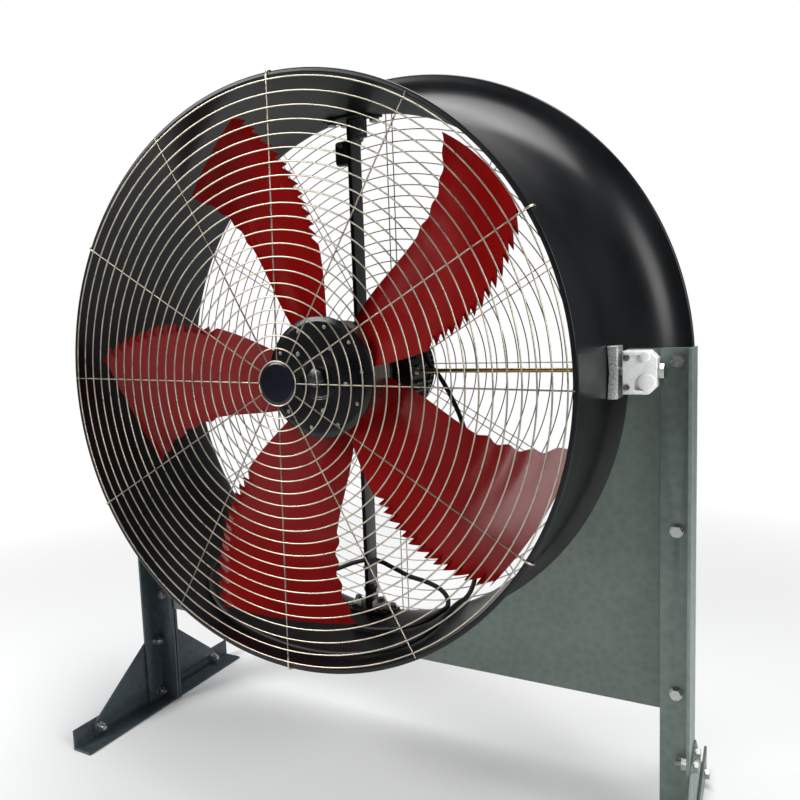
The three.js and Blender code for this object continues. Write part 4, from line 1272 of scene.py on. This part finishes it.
def beside_bar(right, behind, above):
    """A place by the tie in millimetres: right of the bar, behind its front edge, over the tied point."""
    return Vector((bar_half + right * mm, strut_low.y + behind * mm, tied_point.z + above * mm))


tie_head = block("cable_tie_head", beside_bar(1, 22, -3.5), beside_bar(5.5, 30, 3.5), 1 * mm)
tie_tail = bar("cable_tie_tail", beside_bar(3, 22, 0), beside_bar(14, 12, 7), 1.6 * mm, 4, 0.3 * mm)
new_piece("cable_tie_loop", tie_mesh(), "drum", tie_white, "cable_black")
new_piece("cable_tie_head", tie_head, "drum", tie_white, "cable_black")
new_piece("cable_tie_tail", tie_tail, "drum", tie_white, "cable_black")
print("cable tie at", [round(v, 3) for v in tied_point])

# %% Stays
for side, sign in (("right", 1), ("left", -1)):
    stay_low, stay_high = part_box(f"stay_rod_{side}")
    middle = (stay_low + stay_high) / 2
    inner, outer = (stay_low.x, stay_high.x) if sign > 0 else (stay_high.x, stay_low.x)
    start, end = Vector((inner, middle.y, middle.z)), Vector((outer, middle.y, middle.z))
    rod = bar(f"stay_{side}", start, end, 4 * mm, 24)
    new_piece(f"stay_{side}", rod, "drum", stay_zinc, "bolt_steel", f"stay_rod_{side}")
    for label, share in (("inner", 0.012), ("outer", 0.965)):
        at = start.lerp(end, share)
        lock = bar(f"stay_nut_{label}_{side}", at, at + Vector((sign * 7 * mm, 0, 0)), 8 * mm, 6, 0.8 * mm)
        new_piece(f"stay_nut_{label}_{side}", lock, "drum", bolt_steel, "bolt_steel")
print("strut pieces done")

# %% [markdown]
# ## Stand
# Two rolled steel angles stand back to back on each side with the sheet panel clamped between them, and
# gussets brace them to the feet. These are flat pieces whose every size is settled in the frame, so merged
# copies with broken edges serve. The panel is drawn anew, because its round cut-out should be smooth.

# %% Panel
panel_low, panel_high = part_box("stand_panel")
panel_clearance = 17 * mm
cut_radius = outside_radius(panel_high.y - drum_front) + panel_clearance


def panel_mesh(arc_steps=120):
    rise = panel_high.z - axis_height
    from_turn = math.asin(rise / cut_radius)
    outline = [(panel_low.x, panel_low.z), (panel_high.x, panel_low.z), (panel_high.x, panel_high.z)]
    for step in range(arc_steps + 1):
        turn = from_turn - (math.pi + 2 * from_turn) * step / arc_steps
        outline.append((cut_radius * math.cos(turn), axis_height + cut_radius * math.sin(turn)))
    outline.append((panel_low.x, panel_high.z))
    bm = prism(outline, panel_low.y, panel_high.y)
    bmesh.ops.triangulate(bm, faces=[f for f in bm.faces if len(f.verts) > 4])
    return mesh_from("panel_sheet", bm, 30)


new_piece("panel_sheet", panel_mesh(), "stand", panel_zinc, "panel_grey", "stand_panel")

# %% Angles and gussets
# The left angles and gussets take the darker, bluer copy of the zinc: painted shade.
for side, zinc in (("right", angle_zinc), ("left", shaded_zinc)):
    for node in ("upright_front", "upright_rear", "foot"):
        name = f"{node}_{side}"
        new_piece(f"{name}_angle", frame_copy(name, 1.3 * mm, 3), "stand", zinc, "frame_zinc", name)
    for node in ("gusset_front", "gusset_rear"):
        name = f"{node}_{side}"
        new_piece(f"{name}_sheet", frame_copy(name, 0.7 * mm), "stand", zinc, "frame_zinc", name)

# %% [markdown]
# ## Bolts
# M10 hex bolts with round washers hold the stand together. Every bolt of one grip comes from one run of the
# bolt tree, with the places read from the frame's boxes.

# %% Bolts of the stand
washer_sheet = bolt_sizes["Washer Sheet"]
head_depth = 6.4 * mm + washer_sheet + gap


def bolt_seats(nodes_of_bolts, axis, sign):
    """Where each bolt's washer meets the metal, and the bolts' grip."""
    seats, grip = [], 0
    tail = washer_sheet + 8 * mm + 9 * mm + gap
    for node in nodes_of_bolts:
        low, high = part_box(node)
        middle = (low + high) / 2
        outer = low[axis] if sign > 0 else high[axis]
        middle[axis] = outer + sign * head_depth
        seats.append(tuple(middle))
        grip = (high[axis] - low[axis]) - head_depth - tail
    return seats, grip


panel_bolts = [f"panel_bolt_{i}_{side}" for i in (1, 2, 3) for side in ("right", "left")]
seats, grip = bolt_seats(panel_bolts, 1, 1)
bolts_at("panel_bolts", seats, "back", "stand", "bolt_steel", *panel_bolts, Grip=grip)
for side, sign, direction in (("right", -1, "left"), ("left", 1, "right")):
    for kind in ("upper", "lower", "toe"):
        kind_bolts = [f"gusset_bolt_{end}_{kind}_{side}" for end in ("front", "rear")]
        seats, grip = bolt_seats(kind_bolts, 0, sign)
        bolts_at(
            f"gusset_bolts_{kind}_{side}", seats, direction, "stand", "bolt_steel", *kind_bolts, Grip=grip)
print("panel bolt grip", round(grip / mm, 2), "mm")

# %% [markdown]
# ## Tilt pivots
# A zinc casting on each upright holds the pin that the drum tilts on, and a saddle on the drum takes the
# pin's other end. The castings are bevelled copies with the lip, the boss and the ridges that a real one
# has.

# %% Pivots


def mirrored_x(sign, low_x, high_x):
    return (low_x, high_x) if sign > 0 else (-high_x, -low_x)


def pivot_block(name, sign, xs, ys, zs, bevel, body, material, slot):
    low_x, high_x = mirrored_x(sign, *xs)
    mesh = block(name, (low_x, ys[0], axis_height + zs[0]), (high_x, ys[1], axis_height + zs[1]), bevel)
    return new_piece(name, mesh, body, material, slot)


clamp_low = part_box("pivot_clamp_right")[0]
pin_low, pin_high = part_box("pivot_pin_right")
pivot_depth = (pin_low.y + pin_high.y) / 2
# The pivot castings use the near-white zinc, which is partly a painted highlight.
for side, sign in (("right", 1), ("left", -1)):
    new_piece(f"clamp_casting_{side}", frame_copy(f"pivot_clamp_{side}", 3.5 * mm, 4), "stand", clamp_zinc_painted_highlight,
              "bright_zinc", f"pivot_clamp_{side}")
    new_piece(f"saddle_casting_{side}", frame_copy(f"pivot_saddle_{side}", 1.5 * mm, 3), "drum", saddle_zinc,
              "bright_zinc", f"pivot_saddle_{side}")
    front = clamp_low.y
    ridge_x = (clamp_low.x + 2 * mm, clamp_low.x + 30 * mm)
    pivot_block(f"clamp_lip_{side}", sign, ridge_x, (front - 3.5 * mm, front + 6 * mm), (27 * mm, 32.5 * mm),
                1.6 * mm, "stand", clamp_zinc_painted_highlight, "bright_zinc")
    pivot_block(f"clamp_ridge_{side}", sign, ridge_x, (front - 3 * mm, front + 6 * mm), (-32 * mm, -27 * mm),
                1.6 * mm, "stand", clamp_zinc_painted_highlight, "bright_zinc")
    for label, x, rise, radius, proud in (("boss", 36, -15, 13, 4.5), ("dome", 33, 25, 8, 3.5)):
        centre = Vector((sign * (clamp_low.x + x * mm), front, axis_height + rise * mm))
        outer, inner = centre - Vector((0, proud * mm, 0)), centre + Vector((0, 8 * mm, 0))
        mesh = bar(f"clamp_{label}_{side}", outer, inner, radius * mm, 48, 2 * mm)
        new_piece(f"clamp_{label}_{side}", mesh, "stand", clamp_zinc_painted_highlight, "bright_zinc")
    corner_bolts = [(sign * (clamp_low.x + 6 * mm), front, axis_height + rise * mm) for rise in (23, -23)]
    bolts_at(f"clamp_bolts_{side}", corner_bolts, "back", "stand", "bolt_steel", **{
        **head_only, "Head": 4.6 * mm, "Head Height": 3.4 * mm, "Washer": 5.2 * mm, "Shank": 2.5 * mm})

# %% Pivot pins
for side, sign in (("right", 1), ("left", -1)):
    head = 9 * mm
    inner = Vector((sign * pin_low.x, pivot_depth, axis_height))
    under_head = Vector((sign * (pin_high.x - head), pivot_depth, axis_height))
    outer = Vector((sign * pin_high.x, pivot_depth, axis_height))
    new_piece(f"pin_shank_{side}", bar(f"pin_shank_{side}", inner, under_head, 9 * mm, 40, 0.8 * mm), "drum",
              bolt_steel, "bolt_steel", f"pivot_pin_{side}")
    new_piece(f"pin_head_{side}", bar(f"pin_head_{side}", under_head, outer, 13.6 * mm, 6, 1.2 * mm), "drum",
              bolt_steel, "bolt_steel")
print("pivots done")

# %% [markdown]
# ## Floor, light and backdrop
# The floor is plain and pale, and fades into white with distance, so no horizon shows and the object's
# shadow stays. Three large soft lamps stand around the fan as in a studio: one high on the left, one on the
# right and one above. The world fills the rest.

# %% Stage


def background_share(tree):
    """1 for rays that see the backdrop directly or through glass."""
    rays = add_node(tree, "ShaderNodeLightPath").outputs
    return math_node(tree, "MAXIMUM", rays["Is Camera Ray"], rays["Is Transmission Ray"])


def stage_material(near=0.9, far=2.4):
    material, tree, shader, place = new_material("studio_floor", roughness=0.9)
    shader.inputs["Base Color"].default_value = linear("#f4f4f4")
    away = add_node(tree, "ShaderNodeVectorMath", {0: place}, operation="LENGTH").outputs["Value"]
    fade = ranged(tree, away, near, far, 0.0, 1.0)
    white = add_node(tree, "ShaderNodeEmission", {"Color": (1, 1, 1, 1), "Strength": 1.0})
    seen = math_node(tree, "MULTIPLY", fade, background_share(tree))
    mix = add_node(tree, "ShaderNodeMixShader", {0: seen, 1: shader.outputs[0], 2: white.outputs[0]})
    tree.links.new(mix.outputs[0], tree.nodes["Material Output"].inputs["Surface"])
    return material


def make_floor(size=14.0):
    mesh = bpy.data.meshes.new("studio_floor")
    half = size / 2
    corners = [(-half, -half, 0), (half, -half, 0), (half, half, 0), (-half, half, 0)]
    mesh.from_pydata(corners, [], [(0, 1, 2, 3)])
    mesh.materials.append(stage_material())
    floor = bpy.data.objects.new("studio_floor", mesh)
    bpy.context.scene.collection.objects.link(floor)


def make_lamp(name, place, target, size, power):
    data = bpy.data.lights.new(name, "AREA")
    data.shape = "RECTANGLE"
    data.size, data.size_y = size
    data.energy = power
    lamp = bpy.data.objects.new(name, data)
    lamp.location = place
    lamp.rotation_euler = (Vector(place) - Vector(target)).to_track_quat("Z", "Y").to_euler()
    bpy.context.scene.collection.objects.link(lamp)


world_strength = 0.17


def make_world():
    world = bpy.data.worlds.new("studio")
    bpy.context.scene.world = world
    world.use_nodes = True
    tree = world.node_tree
    plain = tree.nodes["Background"]
    plain.inputs["Color"].default_value = linear("#e9edf2")
    plain.inputs["Strength"].default_value = world_strength
    white = add_node(tree, "ShaderNodeBackground", {"Color": (1, 1, 1, 1), "Strength": 1.0})
    seen = background_share(tree)
    mix = add_node(tree, "ShaderNodeMixShader", {0: seen, 1: plain.outputs[0], 2: white.outputs[0]})
    tree.links.new(mix.outputs[0], tree.nodes["World Output"].inputs["Surface"])


make_floor()
make_world()
make_lamp("key_left", (-2.2, -2.6, 2.6), (0, 0, 0.8), (1.6, 1.6), 110)
make_lamp("fill_right", (3.0, -1.2, 1.9), (0.2, 0, 0.7), (1.4, 2.0), 70)
make_lamp("top", (0.3, 0.4, 3.2), (0, 0, 0.8), (2.2, 1.6), 75)
bpy.context.scene.view_settings.view_transform = "Standard"
print("lamps:", len(bpy.data.lights))
